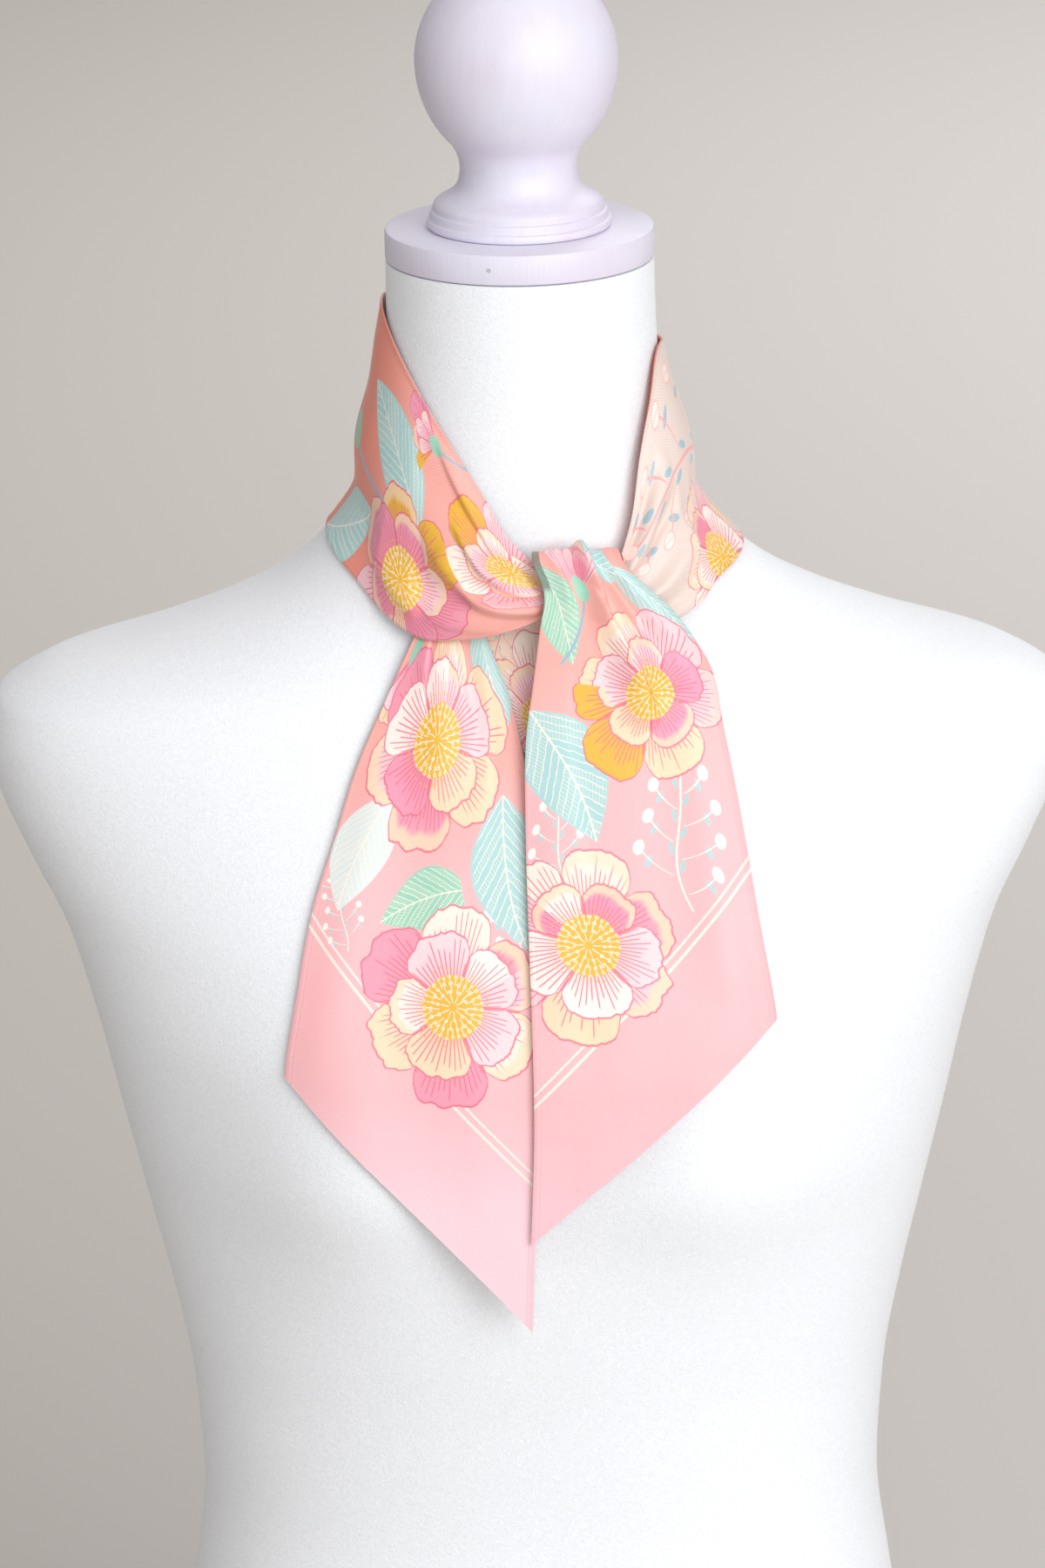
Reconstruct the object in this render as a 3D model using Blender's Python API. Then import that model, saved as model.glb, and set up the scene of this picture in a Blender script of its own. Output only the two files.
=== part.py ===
"""A skinny silk scarf, tied in one half-knot round the neck of a limbless dress form.

Metres, +Z up, +X to the viewer's right, -Y towards the viewer. The form stands on its flat
underside at z = 0, with its neck on the Z axis. Angles round the neck start at the front and
grow towards the viewer's left.
"""

import math
from collections import namedtuple

import bmesh
import bpy
from mathutils import Vector

# Cloth
CLOTH_WALL = 0.0014
SCARF_WIDTH = 0.095
SEAM_GAP = 0.0003
CLOTH_CLEARANCE = 0.0009

# Dress form
NECK_TOP = 0.757
NECK_RADIUS = 0.053
HIP_ROUNDING = 0.004
FORM_SIDES = 44
BUST_APART = 0.078
BUST_HEIGHT = 0.415
BUST_RADIUS = 0.046
BUST_UNDER = 0.052
BUST_ABOVE = 0.078
BUST_PROUD = 0.015

# Cap plate and finial, turned from wood
CAP_THICKNESS = 0.0122
CAP_RADIUS = 0.0532
CAP_EDGE = 0.0012
CAP_SIDES = 44
FINIAL_SIDES = 28
BALL_RADIUS = 0.040
BALL_BELOW = 0.044
BALL_ABOVE = 0.040
BALL_HEIGHT = 0.836
BALL_STEPS = 12
COVE_RADIUS = 0.023
COVE_HEIGHT = 0.7925

# Knot
KNOT_CENTRE = (0.0240, 0.6370, 0.0125)
KNOT_HALF_SIZE = (0.0128, 0.0147, 0.0062)
KNOT_SQUARENESS = 3.2
KNOT_WRAPS = 3
KNOT_WRAP_DEPTH = 0.0006

Section = namedtuple("Section", "height half_width front back squareness")

FORM_SECTIONS = (
    Section(0.000, 0.1740, 0.1180, 0.1280, 2.30),
    Section(0.040, 0.1760, 0.1210, 0.1310, 2.30),
    Section(0.100, 0.1680, 0.1160, 0.1240, 2.30),
    Section(0.160, 0.1520, 0.1050, 0.1090, 2.28),
    Section(0.200, 0.1450, 0.0990, 0.0980, 2.25),
    Section(0.244, 0.1400, 0.0960, 0.0920, 2.22),
    Section(0.290, 0.1428, 0.0990, 0.0940, 2.22),
    Section(0.330, 0.1498, 0.1050, 0.0980, 2.22),
    Section(0.370, 0.1590, 0.1110, 0.1030, 2.22),
    Section(0.410, 0.1682, 0.1170, 0.1070, 2.25),
    Section(0.450, 0.1772, 0.1170, 0.1090, 2.30),
    Section(0.490, 0.1885, 0.1110, 0.1080, 2.35),
    Section(0.520, 0.2025, 0.1020, 0.1040, 2.40),
    Section(0.548, 0.2140, 0.0936, 0.0986, 2.40),
    Section(0.566, 0.2172, 0.0880, 0.0934, 2.40),
    Section(0.580, 0.2148, 0.0828, 0.0884, 2.38),
    Section(0.593, 0.1968, 0.0778, 0.0836, 2.30),
    Section(0.605, 0.1575, 0.0730, 0.0786, 2.20),
    Section(0.616, 0.1270, 0.0694, 0.0743, 2.10),
    Section(0.628, 0.1020, 0.0655, 0.0697, 2.05),
    Section(0.641, 0.0850, 0.0620, 0.0650, 2.00),
    Section(0.657, 0.0710, 0.0590, 0.0610, 2.00),
    Section(0.672, 0.0630, 0.0570, 0.0580, 2.00),
    Section(0.690, 0.0575, 0.0550, 0.0555, 2.00),
    Section(0.712, 0.0545, 0.0535, 0.0540, 2.00),
    Section(0.735, 0.0533, 0.0531, 0.0532, 2.00),
    Section(NECK_TOP, NECK_RADIUS, NECK_RADIUS, NECK_RADIUS, 2.00),
)

# A row lies across the cloth. Each end has a place on the form and a distance off its surface:
# round the neck the place is an angle and a height, on the chest it is an x and a height.
# The belly is how far the middle of the row bows out from the form or, on the right stretch,
# where the cloth has turned over, in towards it.
Row = namedtuple(
    "Row",
    "along long_place long_height long_off short_place short_height short_off belly",
)

# The long edge of the scarf is the one that ends in the two points.
FRONT_TAIL_ROWS = (
    Row(0.000, 0.0060, 0.6480, 0.0050, 0.0320, 0.6470, 0.0040, 0.0010),
    Row(0.008, 0.0045, 0.6535, 0.0090, 0.0340, 0.6520, 0.0070, 0.0010),
    Row(0.014, 0.0028, 0.6562, 0.0150, 0.0360, 0.6540, 0.0130, 0.0015),
    Row(0.021, 0.0030, 0.6540, 0.0210, 0.0380, 0.6500, 0.0180, 0.0020),
    Row(0.036, 0.0072, 0.6425, 0.0240, 0.0463, 0.6410, 0.0190, 0.0025),
    Row(0.052, 0.0053, 0.6296, 0.0240, 0.0580, 0.6290, 0.0165, 0.0025),
    Row(0.075, 0.0026, 0.6100, 0.0190, 0.0715, 0.6090, 0.0105, 0.0030),
    Row(0.102, -0.0009, 0.5856, 0.0138, 0.0760, 0.5880, 0.0078, 0.0028),
    Row(0.135, -0.0016, 0.5580, 0.0092, 0.0820, 0.5565, 0.0058, 0.0024),
    Row(0.175, -0.0013, 0.5205, 0.0064, 0.0885, 0.5170, 0.0046, 0.0015),
    Row(0.218, -0.0005, 0.4820, 0.0052, 0.0952, 0.4765, 0.0040, 0.0010),
    Row(0.262, -0.0003, 0.4380, 0.0050, 0.0975, 0.4360, 0.0038, 0.0005),
    Row(0.313, -0.0023, 0.3898, 0.0054, 0.0980, 0.3900, 0.0040, 0.0000),
)
FRONT_TAIL_CORNER = 0.218

LEFT_START = -0.008
LEFT_ROWS = (
    Row(LEFT_START, -8.3, 0.6345, 0.0165, -8.5, 0.6480, 0.0130, 0.0010),
    Row(0.000, -2.6, 0.6305, 0.0165, -3.6, 0.6505, 0.0115, 0.0025),
    Row(0.014, 8.0, 0.6255, 0.0155, 5.5, 0.6600, 0.0085, 0.0050),
    Row(0.030, 18.0, 0.6225, 0.0120, 14.0, 0.6735, 0.0050, 0.0060),
    Row(0.050, 29.5, 0.6215, 0.0075, 27.5, 0.6920, 0.0030, 0.0040),
    Row(0.075, 42.5, 0.6285, 0.0040, 45.0, 0.7115, 0.0022, 0.0015),
    Row(0.100, 57.0, 0.6385, 0.0030, 64.0, 0.7280, 0.0018, -0.0010),
    Row(0.125, 74.0, 0.6458, 0.0028, 84.0, 0.7390, 0.0018, -0.0020),
    Row(0.150, 90.0, 0.6492, 0.0028, 104.0, 0.7400, 0.0018, -0.0020),
    Row(0.175, 106.0, 0.6495, 0.0028, 121.0, 0.7320, 0.0020, -0.0010),
)

RIGHT_ROWS = (
    Row(0.315, 241.0, 0.7180, 0.0025, 250.0, 0.6460, 0.0028, 0.0015),
    Row(0.340, 264.0, 0.7215, 0.0018, 267.0, 0.6418, 0.0028, 0.0030),
    Row(0.365, 288.0, 0.7220, 0.0022, 284.0, 0.6388, 0.0028, 0.0020),
    Row(0.388, 303.5, 0.7035, 0.0045, 298.0, 0.6350, 0.0033, -0.0010),
    Row(0.408, 314.0, 0.6850, 0.0060, 308.0, 0.6290, 0.0045, -0.0030),
    Row(0.426, 322.5, 0.6640, 0.0078, 316.0, 0.6255, 0.0058, -0.0025),
    Row(0.440, 328.5, 0.6515, 0.0088, 323.0, 0.6240, 0.0060, -0.0020),
)

# At the nape the gathered cloth makes a half turn: its middle line, width and turn.
TwistRow = namedtuple("TwistRow", "along angle height off width turn")

NAPE_TWIST_ROWS = (
    TwistRow(0.200, 136.0, 0.6880, 0.0115, 0.066, 19.0),
    TwistRow(0.222, 155.0, 0.6865, 0.0150, 0.044, 52.0),
    TwistRow(0.245, 177.0, 0.6850, 0.0165, 0.030, 92.0),
    TwistRow(0.268, 199.0, 0.6835, 0.0150, 0.040, 132.0),
    TwistRow(0.291, 220.0, 0.6825, 0.0115, 0.060, 161.0),
)
NAPE_START = 0.168
NAPE_STOP = 0.322
LOOP_END = 0.440

REAR_TAIL_ROWS = (
    Row(0.000, -0.0165, 0.6330, 0.0061, -0.0370, 0.6330, 0.0051, 0.0005),
    Row(0.012, -0.0155, 0.6220, 0.0065, -0.0441, 0.6205, 0.0055, 0.0015),
    Row(0.033, -0.0075, 0.6010, 0.0055, -0.0547, 0.5997, 0.0040, 0.0025),
    Row(0.060, -0.0012, 0.5740, 0.0048, -0.0670, 0.5742, 0.0032, 0.0025),
    Row(0.088, 0.0020, 0.5450, 0.0034, -0.0760, 0.5480, 0.0030, 0.0020),
    Row(0.118, 0.0025, 0.5130, 0.0026, -0.0858, 0.5190, 0.0028, 0.0012),
    Row(0.152, 0.0025, 0.4780, 0.0022, -0.0925, 0.4862, 0.0026, 0.0006),
    Row(0.182, 0.0020, 0.4470, 0.0022, -0.0976, 0.4566, 0.0026, 0.0004),
    Row(0.225, 0.0002, 0.4040, 0.0024, -0.0995, 0.4140, 0.0026, 0.0002),
    Row(0.277, -0.0022, 0.3520, 0.0030, -0.1000, 0.3630, 0.0026, 0.0000),
)
REAR_TAIL_CORNER = 0.182

TURNED_EDGE_ROWS = (
    Row(0.000, 0.0060, 0.6330, 0.0030, -0.0190, 0.6330, 0.0024, 0.0002),
    Row(0.012, 0.0060, 0.6215, 0.0028, -0.0190, 0.6220, 0.0026, 0.0002),
    Row(0.033, 0.0062, 0.6000, 0.0028, -0.0120, 0.6010, 0.0026, 0.0002),
    Row(0.055, 0.0064, 0.5780, 0.0026, -0.0055, 0.5790, 0.0024, 0.0001),
)
TURNED_EDGE_LENGTH = 0.055

# A fold is a soft ridge (or a trough, with a negative depth) along a line on the flat cloth,
# from one along and across place to another; across runs from 0, the long edge, to 1. It
# rises on the pink side of the cloth.
Fold = namedtuple("Fold", "along_from across_from along_to across_to width depth")

LEFT_FOLDS = (
    Fold(0.000, 0.66, 0.056, 0.39, 0.0115, 0.0034),
    Fold(0.000, 0.45, 0.060, 0.22, 0.0095, -0.0034),
    Fold(-0.004, 0.20, 0.085, 0.08, 0.0140, 0.0032),
    Fold(0.010, 0.88, 0.070, 0.68, 0.0120, -0.0014),
    Fold(0.085, 0.21, 0.190, 0.19, 0.0160, -0.0060),
    Fold(0.110, 0.62, 0.190, 0.66, 0.0140, -0.0012),
)

RIGHT_FOLDS = (
    Fold(0.290, 0.74, 0.395, 0.73, 0.0180, 0.0075),
    Fold(0.380, 0.60, 0.446, 0.46, 0.0120, 0.0022),
    Fold(0.390, 0.34, 0.446, 0.24, 0.0120, -0.0016),
)

NAPE_FOLDS = (
    Fold(0.190, 0.26, 0.300, 0.24, 0.0110, 0.0026),
    Fold(0.185, 0.50, 0.305, 0.50, 0.0110, -0.0030),
    Fold(0.190, 0.74, 0.300, 0.76, 0.0110, 0.0026),
)

FRONT_TAIL_FOLDS = (
    Fold(0.006, 0.55, 0.082, 0.58, 0.0095, 0.0032),
    Fold(0.010, 0.70, 0.086, 0.75, 0.0090, -0.0032),
    Fold(0.010, 0.90, 0.066, 0.93, 0.0090, 0.0018),
    Fold(0.080, 0.30, 0.180, 0.36, 0.0160, -0.0008),
)

REAR_TAIL_FOLDS = (
    Fold(0.004, 0.60, 0.080, 0.47, 0.0115, 0.0018),
    Fold(0.008, 0.30, 0.068, 0.25, 0.0100, -0.0014),
)


def clear_scene():
    """Remove every object of the open scene."""
    for item in list(bpy.data.objects):
        bpy.data.objects.remove(item, do_unlink=True)


def make_material(name, colour, roughness):
    """A plain finish in one colour."""
    finish = bpy.data.materials.new(name)
    finish.use_nodes = True
    shader = finish.node_tree.nodes["Principled BSDF"]
    shader.inputs["Base Color"].default_value = (*colour, 1.0)
    shader.inputs["Roughness"].default_value = roughness
    shader.inputs["Metallic"].default_value = 0.0
    return finish


def curve_through(places, values, at):
    """A monotone cubic through values at rising places, read at one place."""
    last = len(places) - 1
    span = 0
    while span < last - 1 and at > places[span + 1]:
        span += 1

    def rise(i):
        return (values[i + 1] - values[i]) / (places[i + 1] - places[i])

    def slope(i):
        if i == 0:
            return rise(0)
        if i == last:
            return rise(last - 1)
        before, after = rise(i - 1), rise(i)
        if before * after <= 0.0:
            return 0.0
        return 2.0 * before * after / (before + after)

    step = places[span + 1] - places[span]
    t = (at - places[span]) / step
    t2, t3 = t * t, t * t * t
    return (
        (2 * t3 - 3 * t2 + 1) * values[span]
        + (t3 - 2 * t2 + t) * step * slope(span)
        + (3 * t2 - 2 * t3) * values[span + 1]
        + (t3 - t2) * step * slope(span + 1)
    )


def smooth_through(places, values, at):
    """A smooth cubic through values at rising places, which may overshoot a little."""
    last = len(places) - 1
    span = 0
    while span < last - 1 and at > places[span + 1]:
        span += 1

    def slope(i):
        low, high = max(i - 1, 0), min(i + 1, last)
        return (values[high] - values[low]) / (places[high] - places[low])

    step = places[span + 1] - places[span]
    t = (at - places[span]) / step
    t2, t3 = t * t, t * t * t
    return (
        values[span] * (2 * t3 - 3 * t2 + 1)
        + slope(span) * (step * (t3 - 2 * t2 + t))
        + values[span + 1] * (3 * t2 - 2 * t3)
        + slope(span + 1) * (step * (t3 - t2))
    )


HEIGHTS = [section.height for section in FORM_SECTIONS]
COLUMNS = {
    column: [getattr(section, column) for section in FORM_SECTIONS]
    for column in ("half_width", "front", "back", "squareness")
}


def form_section(height):
    """The form's half width, front depth, back depth and squareness at a height."""
    height = min(max(height, 0.0), NECK_TOP)
    return [curve_through(HEIGHTS, COLUMNS[column], height) for column in COLUMNS]


def bust_depth(x, height):
    """How far the padded bust stands out of the plain section."""
    sideways = (abs(x) - BUST_APART) / BUST_RADIUS
    spread = BUST_UNDER if height < BUST_HEIGHT else BUST_ABOVE
    upwards = (height - BUST_HEIGHT) / spread
    return BUST_PROUD * math.exp(-sideways * sideways - upwards * upwards)


def chest_depth(x, height):
    """How far the form's front stands before the neck axis."""
    half_width, front, _, power = form_section(height)
    share = min(abs(x) / half_width, 0.995)
    return front * (1.0 - share**power) ** (1.0 / power) + bust_depth(x, height)


def form_radius(angle, height):
    """The distance from the axis to the form's surface, at an angle from the front."""
    half_width, front, back, power = form_section(height)
    turn = math.radians(angle)
    depth = front if math.cos(turn) > 0.0 else back
    across = abs(math.sin(turn)) / half_width
    along = abs(math.cos(turn)) / depth
    return (across**power + along**power) ** (-1.0 / power)


def from_axis(angle, height, radius):
    """A point at an angle, a height and a distance from the neck's axis."""
    turn = math.radians(angle)
    return Vector((-radius * math.sin(turn), -radius * math.cos(turn), height))


HANG_HEIGHT = BUST_HEIGHT + 0.010
BRIDGE_REACH = 0.100
BRIDGE_STEPS = 10


def on_chest(x, height, off):
    """A point before the chest. Cloth bridges the hollow between the busts and hangs below them."""
    level = max(height, HANG_HEIGHT)
    reach = max(BRIDGE_REACH - abs(x), 0.0)
    deepest = max(
        chest_depth(abs(x) + reach * step / BRIDGE_STEPS, level)
        for step in range(BRIDGE_STEPS + 1)
    )
    return Vector((x, -deepest - off, height))


def form_excess(point):
    """Below zero inside the form's plain sections, above zero outside them."""
    half_width, front, back, power = form_section(point.z)
    depth = front if point.y < 0.0 else back
    return (abs(point.x) / half_width) ** power + (abs(point.y) / depth) ** power - 1.0


SURFACE_TRIES = 4
NUDGE = 0.0005


def keep_off_form(point, clearance):
    """The point, pushed out of the form where it lies nearer than the clearance."""
    for _ in range(SURFACE_TRIES):
        here = form_excess(point)
        steps = (Vector((NUDGE, 0, 0)), Vector((0, NUDGE, 0)), Vector((0, 0, NUDGE)))
        slope = Vector([(form_excess(point + step) - here) / NUDGE for step in steps])
        distance = here / slope.length
        if distance >= clearance:
            break
        point = point + slope.normalized() * (clearance - distance)
    return point


# The ribs of a stretch: where each row lies along the cloth, the places of its two ends, its
# belly, and the function that turns a place into a point.
Ribs = namedtuple("Ribs", "along long_ends short_ends bellies place")


def chest_ribs(rows):
    """The ribs of a tail, whose places are x, height and distance off the chest."""
    return Ribs(
        [row.along for row in rows],
        [Vector((row.long_place, row.long_height, row.long_off)) for row in rows],
        [Vector((row.short_place, row.short_height, row.short_off)) for row in rows],
        [row.belly for row in rows],
        on_chest,
    )


def neck_end(angle, height, off):
    """A place round the neck: angle, height and distance from the axis."""
    return Vector((angle, height, form_radius(angle, height) + off))


def neck_ribs():
    """The ribs of the loop round the neck: left side, half turn at the nape, right side."""
    sides = [
        [
            row.along,
            neck_end(row.long_place, row.long_height, row.long_off),
            neck_end(row.short_place, row.short_height, row.short_off),
            row.belly,
        ]
        for row in LEFT_ROWS + RIGHT_ROWS
    ]
    for row in NAPE_TWIST_ROWS:
        middle = neck_end(row.angle, row.height, row.off)
        turn = math.radians(row.turn)
        half = Vector((0.0, math.cos(turn), math.sin(turn))) * row.width / 2
        sides.append([row.along, middle - half, middle + half, 0.0])
    sides.sort(key=lambda side: side[0])
    return Ribs(*(list(column) for column in zip(*sides)), from_axis)


def fold_height(folds, along, across):
    """The sum of the folds at one place on the flat cloth."""
    here = Vector((along, across * SCARF_WIDTH))
    height = 0.0
    for fold in folds:
        start = Vector((fold.along_from, fold.across_from * SCARF_WIDTH))
        line = Vector((fold.along_to, fold.across_to * SCARF_WIDTH)) - start
        share = (here - start).dot(line) / line.length_squared
        fade = max(0.0, 1.0 - abs(2.0 * share - 1.0) ** 4)
        aside = (here - start - share * line).length / fold.width
        height += fold.depth * fade * math.exp(-aside * aside)
    return height


SLOPE_STEP = 0.002
SLOPE_SHARE = 0.02


def cloth_point(ribs, folds, along, across, outward):
    """One point of the cloth's middle surface."""

    def plain(at, share):
        start = smooth_through(ribs.along, ribs.long_ends, at)
        end = smooth_through(ribs.along, ribs.short_ends, at)
        return ribs.place(*start.lerp(end, share))

    lengthwise = plain(along + SLOPE_STEP, across) - plain(along - SLOPE_STEP, across)
    crosswise = plain(along, across + SLOPE_SHARE) - plain(along, across - SLOPE_SHARE)
    normal = lengthwise.cross(crosswise).normalized() * outward
    bow = 4.0 * across * (1.0 - across) * smooth_through(ribs.along, ribs.bellies, along)
    return plain(along, across) + normal * (bow + fold_height(folds, along, across))


def cloth_grid(ribs, folds, span, counts, outward, corner=None):
    """Rows of points along the span, with one more row beyond each end to tell the slope there.

    With a corner, the last rows slant: the short edge stops at the corner and the long edge
    runs on to its point.
    """
    steps, lanes = counts
    grid = []
    for step in range(-1, steps + 2):
        line = []
        for lane in range(lanes + 1):
            across = lane / lanes
            stop = span[1]
            if corner is not None:
                stop = corner + (span[1] - corner) * (1.0 - across)
            along = span[0] + (stop - span[0]) * step / steps
            point = cloth_point(ribs, folds, along, across, outward)
            line.append(keep_off_form(point, CLOTH_CLEARANCE + CLOTH_WALL / 2))
        grid.append(line)
    return grid


def grid_normal(grid, i, j):
    """The surface normal of a grid of points at one of its inner rows."""
    lanes = len(grid[0]) - 1
    down = grid[i + 1][j] - grid[i - 1][j]
    over = grid[i][min(j + 1, lanes)] - grid[i][max(j - 1, 0)]
    return down.cross(over).normalized()


def build_object(name, mesh_source, finish):
    """Turn a bmesh into a named object with one material."""
    bmesh.ops.recalc_face_normals(mesh_source, faces=mesh_source.faces)
    mesh = bpy.data.meshes.new(name)
    mesh_source.to_mesh(mesh)
    mesh_source.free()
    mesh.materials.append(finish)
    mesh.shade_smooth()
    mesh.set_sharp_from_angle(angle=math.radians(40.0))
    item = bpy.data.objects.new(name, mesh)
    bpy.context.scene.collection.objects.link(item)
    return item


def cloth_wall(name, grid, finish):
    """A closed wall of the cloth's thickness on both sides of a grid of points."""
    build = bmesh.new()
    rows, lanes = len(grid) - 3, len(grid[0]) - 1
    front, back = (
        [
            [
                build.verts.new(grid[i][j] + grid_normal(grid, i, j) * CLOTH_WALL * side)
                for j in range(lanes + 1)
            ]
            for i in range(1, rows + 2)
        ]
        for side in (0.5, -0.5)
    )
    for i in range(rows):
        for j in range(lanes):
            for sheet in (front, back):
                build.faces.new(
                    (sheet[i][j], sheet[i + 1][j], sheet[i + 1][j + 1], sheet[i][j + 1])
                )
    rim = [(i, 0) for i in range(rows)] + [(rows, j) for j in range(lanes)]
    rim += [(i, lanes) for i in range(rows, 0, -1)] + [(0, j) for j in range(lanes, 0, -1)]
    for here, there in zip(rim, rim[1:] + rim[:1]):
        build.faces.new(
            (
                front[here[0]][here[1]],
                front[there[0]][there[1]],
                back[there[0]][there[1]],
                back[here[0]][here[1]],
            )
        )
    return build_object(name, build, finish)


def ring_solid(name, rings, finish):
    """A closed solid through rings of points, each end filled with a flat face."""
    build = bmesh.new()
    loops = [[build.verts.new(point) for point in ring] for ring in rings]
    for lower, upper in zip(loops, loops[1:]):
        for k in range(len(lower)):
            after = (k + 1) % len(lower)
            build.faces.new((lower[k], lower[after], upper[after], upper[k]))
    build.faces.new(loops[0])
    build.faces.new(loops[-1])
    return build_object(name, build, finish)


def signed_power(value, power):
    return math.copysign(abs(value) ** power, value)


def form_ring(height, inset=0.0):
    """One level section of the form, drawn in by the inset."""
    half_width, front, back, power = form_section(height)
    ring = []
    for k in range(FORM_SIDES):
        turn = 2.0 * math.pi * k / FORM_SIDES
        x = (half_width - inset) * signed_power(math.cos(turn), 2.0 / power)
        depth = (back if math.sin(turn) > 0.0 else front) - inset
        y = depth * signed_power(math.sin(turn), 2.0 / power)
        if math.sin(turn) < -1e-6:
            y -= bust_depth(x, height)
        ring.append(Vector((x, y, height)))
    return ring


def make_form_body(finish):
    """The padded torso and neck, from the hip cut to the top of the neck."""
    spans = (
        (HIP_ROUNDING, 0.244, 6),
        (0.244, 0.490, 8),
        (0.490, 0.585, 6),
        (0.585, 0.672, 14),
        (0.672, NECK_TOP, 4),
    )
    heights = [HIP_ROUNDING]
    for low, high, count in spans:
        heights += [low + (high - low) * (k + 1) / count for k in range(count)]
    rings = [form_ring(0.0, HIP_ROUNDING)] + [form_ring(height) for height in heights]
    return ring_solid("dress_form_body", rings, finish)


def turned_rings(profile, sides):
    """Level circles at each radius and height of a turned profile."""
    return [
        [
            Vector((radius * math.cos(turn), radius * math.sin(turn), height))
            for turn in (2.0 * math.pi * k / sides for k in range(sides))
        ]
        for radius, height in profile
    ]


CAP_BOTTOM = NECK_TOP + SEAM_GAP
CAP_TOP = CAP_BOTTOM + CAP_THICKNESS


def make_cap_plate(finish):
    """The round wooden plate on top of the neck, with eased edges."""
    profile = (
        (CAP_RADIUS - CAP_EDGE, CAP_BOTTOM),
        (CAP_RADIUS, CAP_BOTTOM + CAP_EDGE),
        (CAP_RADIUS, CAP_TOP - CAP_EDGE),
        (CAP_RADIUS - CAP_EDGE, CAP_TOP),
    )
    return ring_solid("neck_cap_plate", turned_rings(profile, CAP_SIDES), finish)


def make_finial(finish):
    """The turned finial: three stepped beads, a cove and a ball."""
    foot = CAP_TOP + SEAM_GAP
    profile = [
        (0.0358, foot),
        (0.0365, foot + 0.0012),
        (0.0362, foot + 0.0030),
        (0.0350, foot + 0.0036),
        (0.0350, foot + 0.0062),
        (0.0338, foot + 0.0070),
        (0.0338, foot + 0.0092),
        (0.0322, foot + 0.0108),
        (0.0280, foot + 0.0132),
        (0.0245, foot + 0.0165),
        (COVE_RADIUS, COVE_HEIGHT),
        (COVE_RADIUS + 0.0004, COVE_HEIGHT + 0.0040),
        (COVE_RADIUS + 0.0018, COVE_HEIGHT + 0.0080),
    ]
    lowest, highest = math.radians(-49.0), math.radians(88.0)
    for k in range(BALL_STEPS + 1):
        turn = lowest + (highest - lowest) * k / BALL_STEPS
        reach = BALL_BELOW if turn < 0.0 else BALL_ABOVE
        profile.append((BALL_RADIUS * math.cos(turn), BALL_HEIGHT + reach * math.sin(turn)))
    return ring_solid("turned_finial", turned_rings(profile, FINIAL_SIDES), finish)


def make_knot(finish):
    """The hidden wraps of the half-knot, one rounded solid with shallow grooves between them.

    Its centre and half sizes run across, upwards and outwards from the neck, which it follows.
    """
    sides, levels = 20, 10
    centre = Vector(KNOT_CENTRE)
    power = 2.0 / KNOT_SQUARENESS
    rings = []
    for level in range(levels + 1):
        rise = math.radians(-82.0 + 164.0 * level / levels)
        ring = []
        for k in range(sides):
            turn = 2.0 * math.pi * k / sides
            groove = 0.5 - 0.5 * math.cos(KNOT_WRAPS * (2.0 * rise + turn))
            across = signed_power(math.cos(turn) * math.cos(rise), power)
            outwards = -signed_power(math.sin(turn) * math.cos(rise), power)
            upwards = signed_power(math.sin(rise), power)
            size = Vector(KNOT_HALF_SIZE) - Vector((1, 1, 1)) * KNOT_WRAP_DEPTH * groove
            reach = Vector((across * size.x, upwards * size.y, outwards * size.z))
            ring.append(on_chest(*(centre + reach)))
        rings.append(ring)
    return ring_solid("scarf_knot", rings, finish)


def make_scarf(pink, cream):
    """The stretches of the scarf; each is drawn back by the seam gap where another runs on."""
    loop = neck_ribs()
    front = chest_ribs(FRONT_TAIL_ROWS)
    rear = chest_ribs(REAR_TAIL_ROWS)
    turned = chest_ribs(TURNED_EDGE_ROWS)
    left_span = (LEFT_START, NAPE_START - SEAM_GAP)
    nape_span = (NAPE_START + SEAM_GAP, NAPE_STOP - SEAM_GAP)
    right_span = (NAPE_STOP + SEAM_GAP, LOOP_END)
    cloth_wall(
        "scarf_left_stretch", cloth_grid(loop, LEFT_FOLDS, left_span, (28, 16), -1.0), pink
    )
    cloth_wall(
        "scarf_nape_twist", cloth_grid(loop, NAPE_FOLDS, nape_span, (24, 14), -1.0), pink
    )
    cloth_wall(
        "scarf_right_stretch", cloth_grid(loop, RIGHT_FOLDS, right_span, (18, 14), -1.0), cream
    )
    cloth_wall(
        "scarf_front_tail",
        cloth_grid(
            front, FRONT_TAIL_FOLDS, (0.0, FRONT_TAIL_ROWS[-1].along), (32, 18), 1.0,
            FRONT_TAIL_CORNER,
        ),
        pink,
    )
    cloth_wall(
        "scarf_rear_tail",
        cloth_grid(
            rear, REAR_TAIL_FOLDS, (0.0, REAR_TAIL_ROWS[-1].along), (24, 12), -1.0,
            REAR_TAIL_CORNER,
        ),
        pink,
    )
    cloth_wall(
        "scarf_turned_edge",
        cloth_grid(turned, (), (0.0, TURNED_EDGE_LENGTH), (8, 4), -1.0),
        cream,
    )
    make_knot(pink)


clear_scene()
silk_pink = make_material("silk_pink", (0.93, 0.52, 0.50), 0.45)
silk_cream = make_material("silk_cream", (0.95, 0.85, 0.76), 0.45)
form_cover = make_material("form_cover", (0.90, 0.90, 0.91), 0.90)
painted_wood = make_material("painted_wood", (0.83, 0.81, 0.88), 0.40)

make_form_body(form_cover)
make_cap_plate(painted_wood)
make_finial(painted_wood)
make_scarf(silk_pink, silk_cream)
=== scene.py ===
"""A skinny silk scarf tied in a half-knot round the neck of a limbless dress form.

Metres, +Z up, -Y towards the viewer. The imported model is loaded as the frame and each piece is
made over it: the covered form, its painted wooden cap and finial, and the printed silk.
"""

import math

import bpy
import numpy as np
from mathutils import Matrix, Vector


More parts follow.
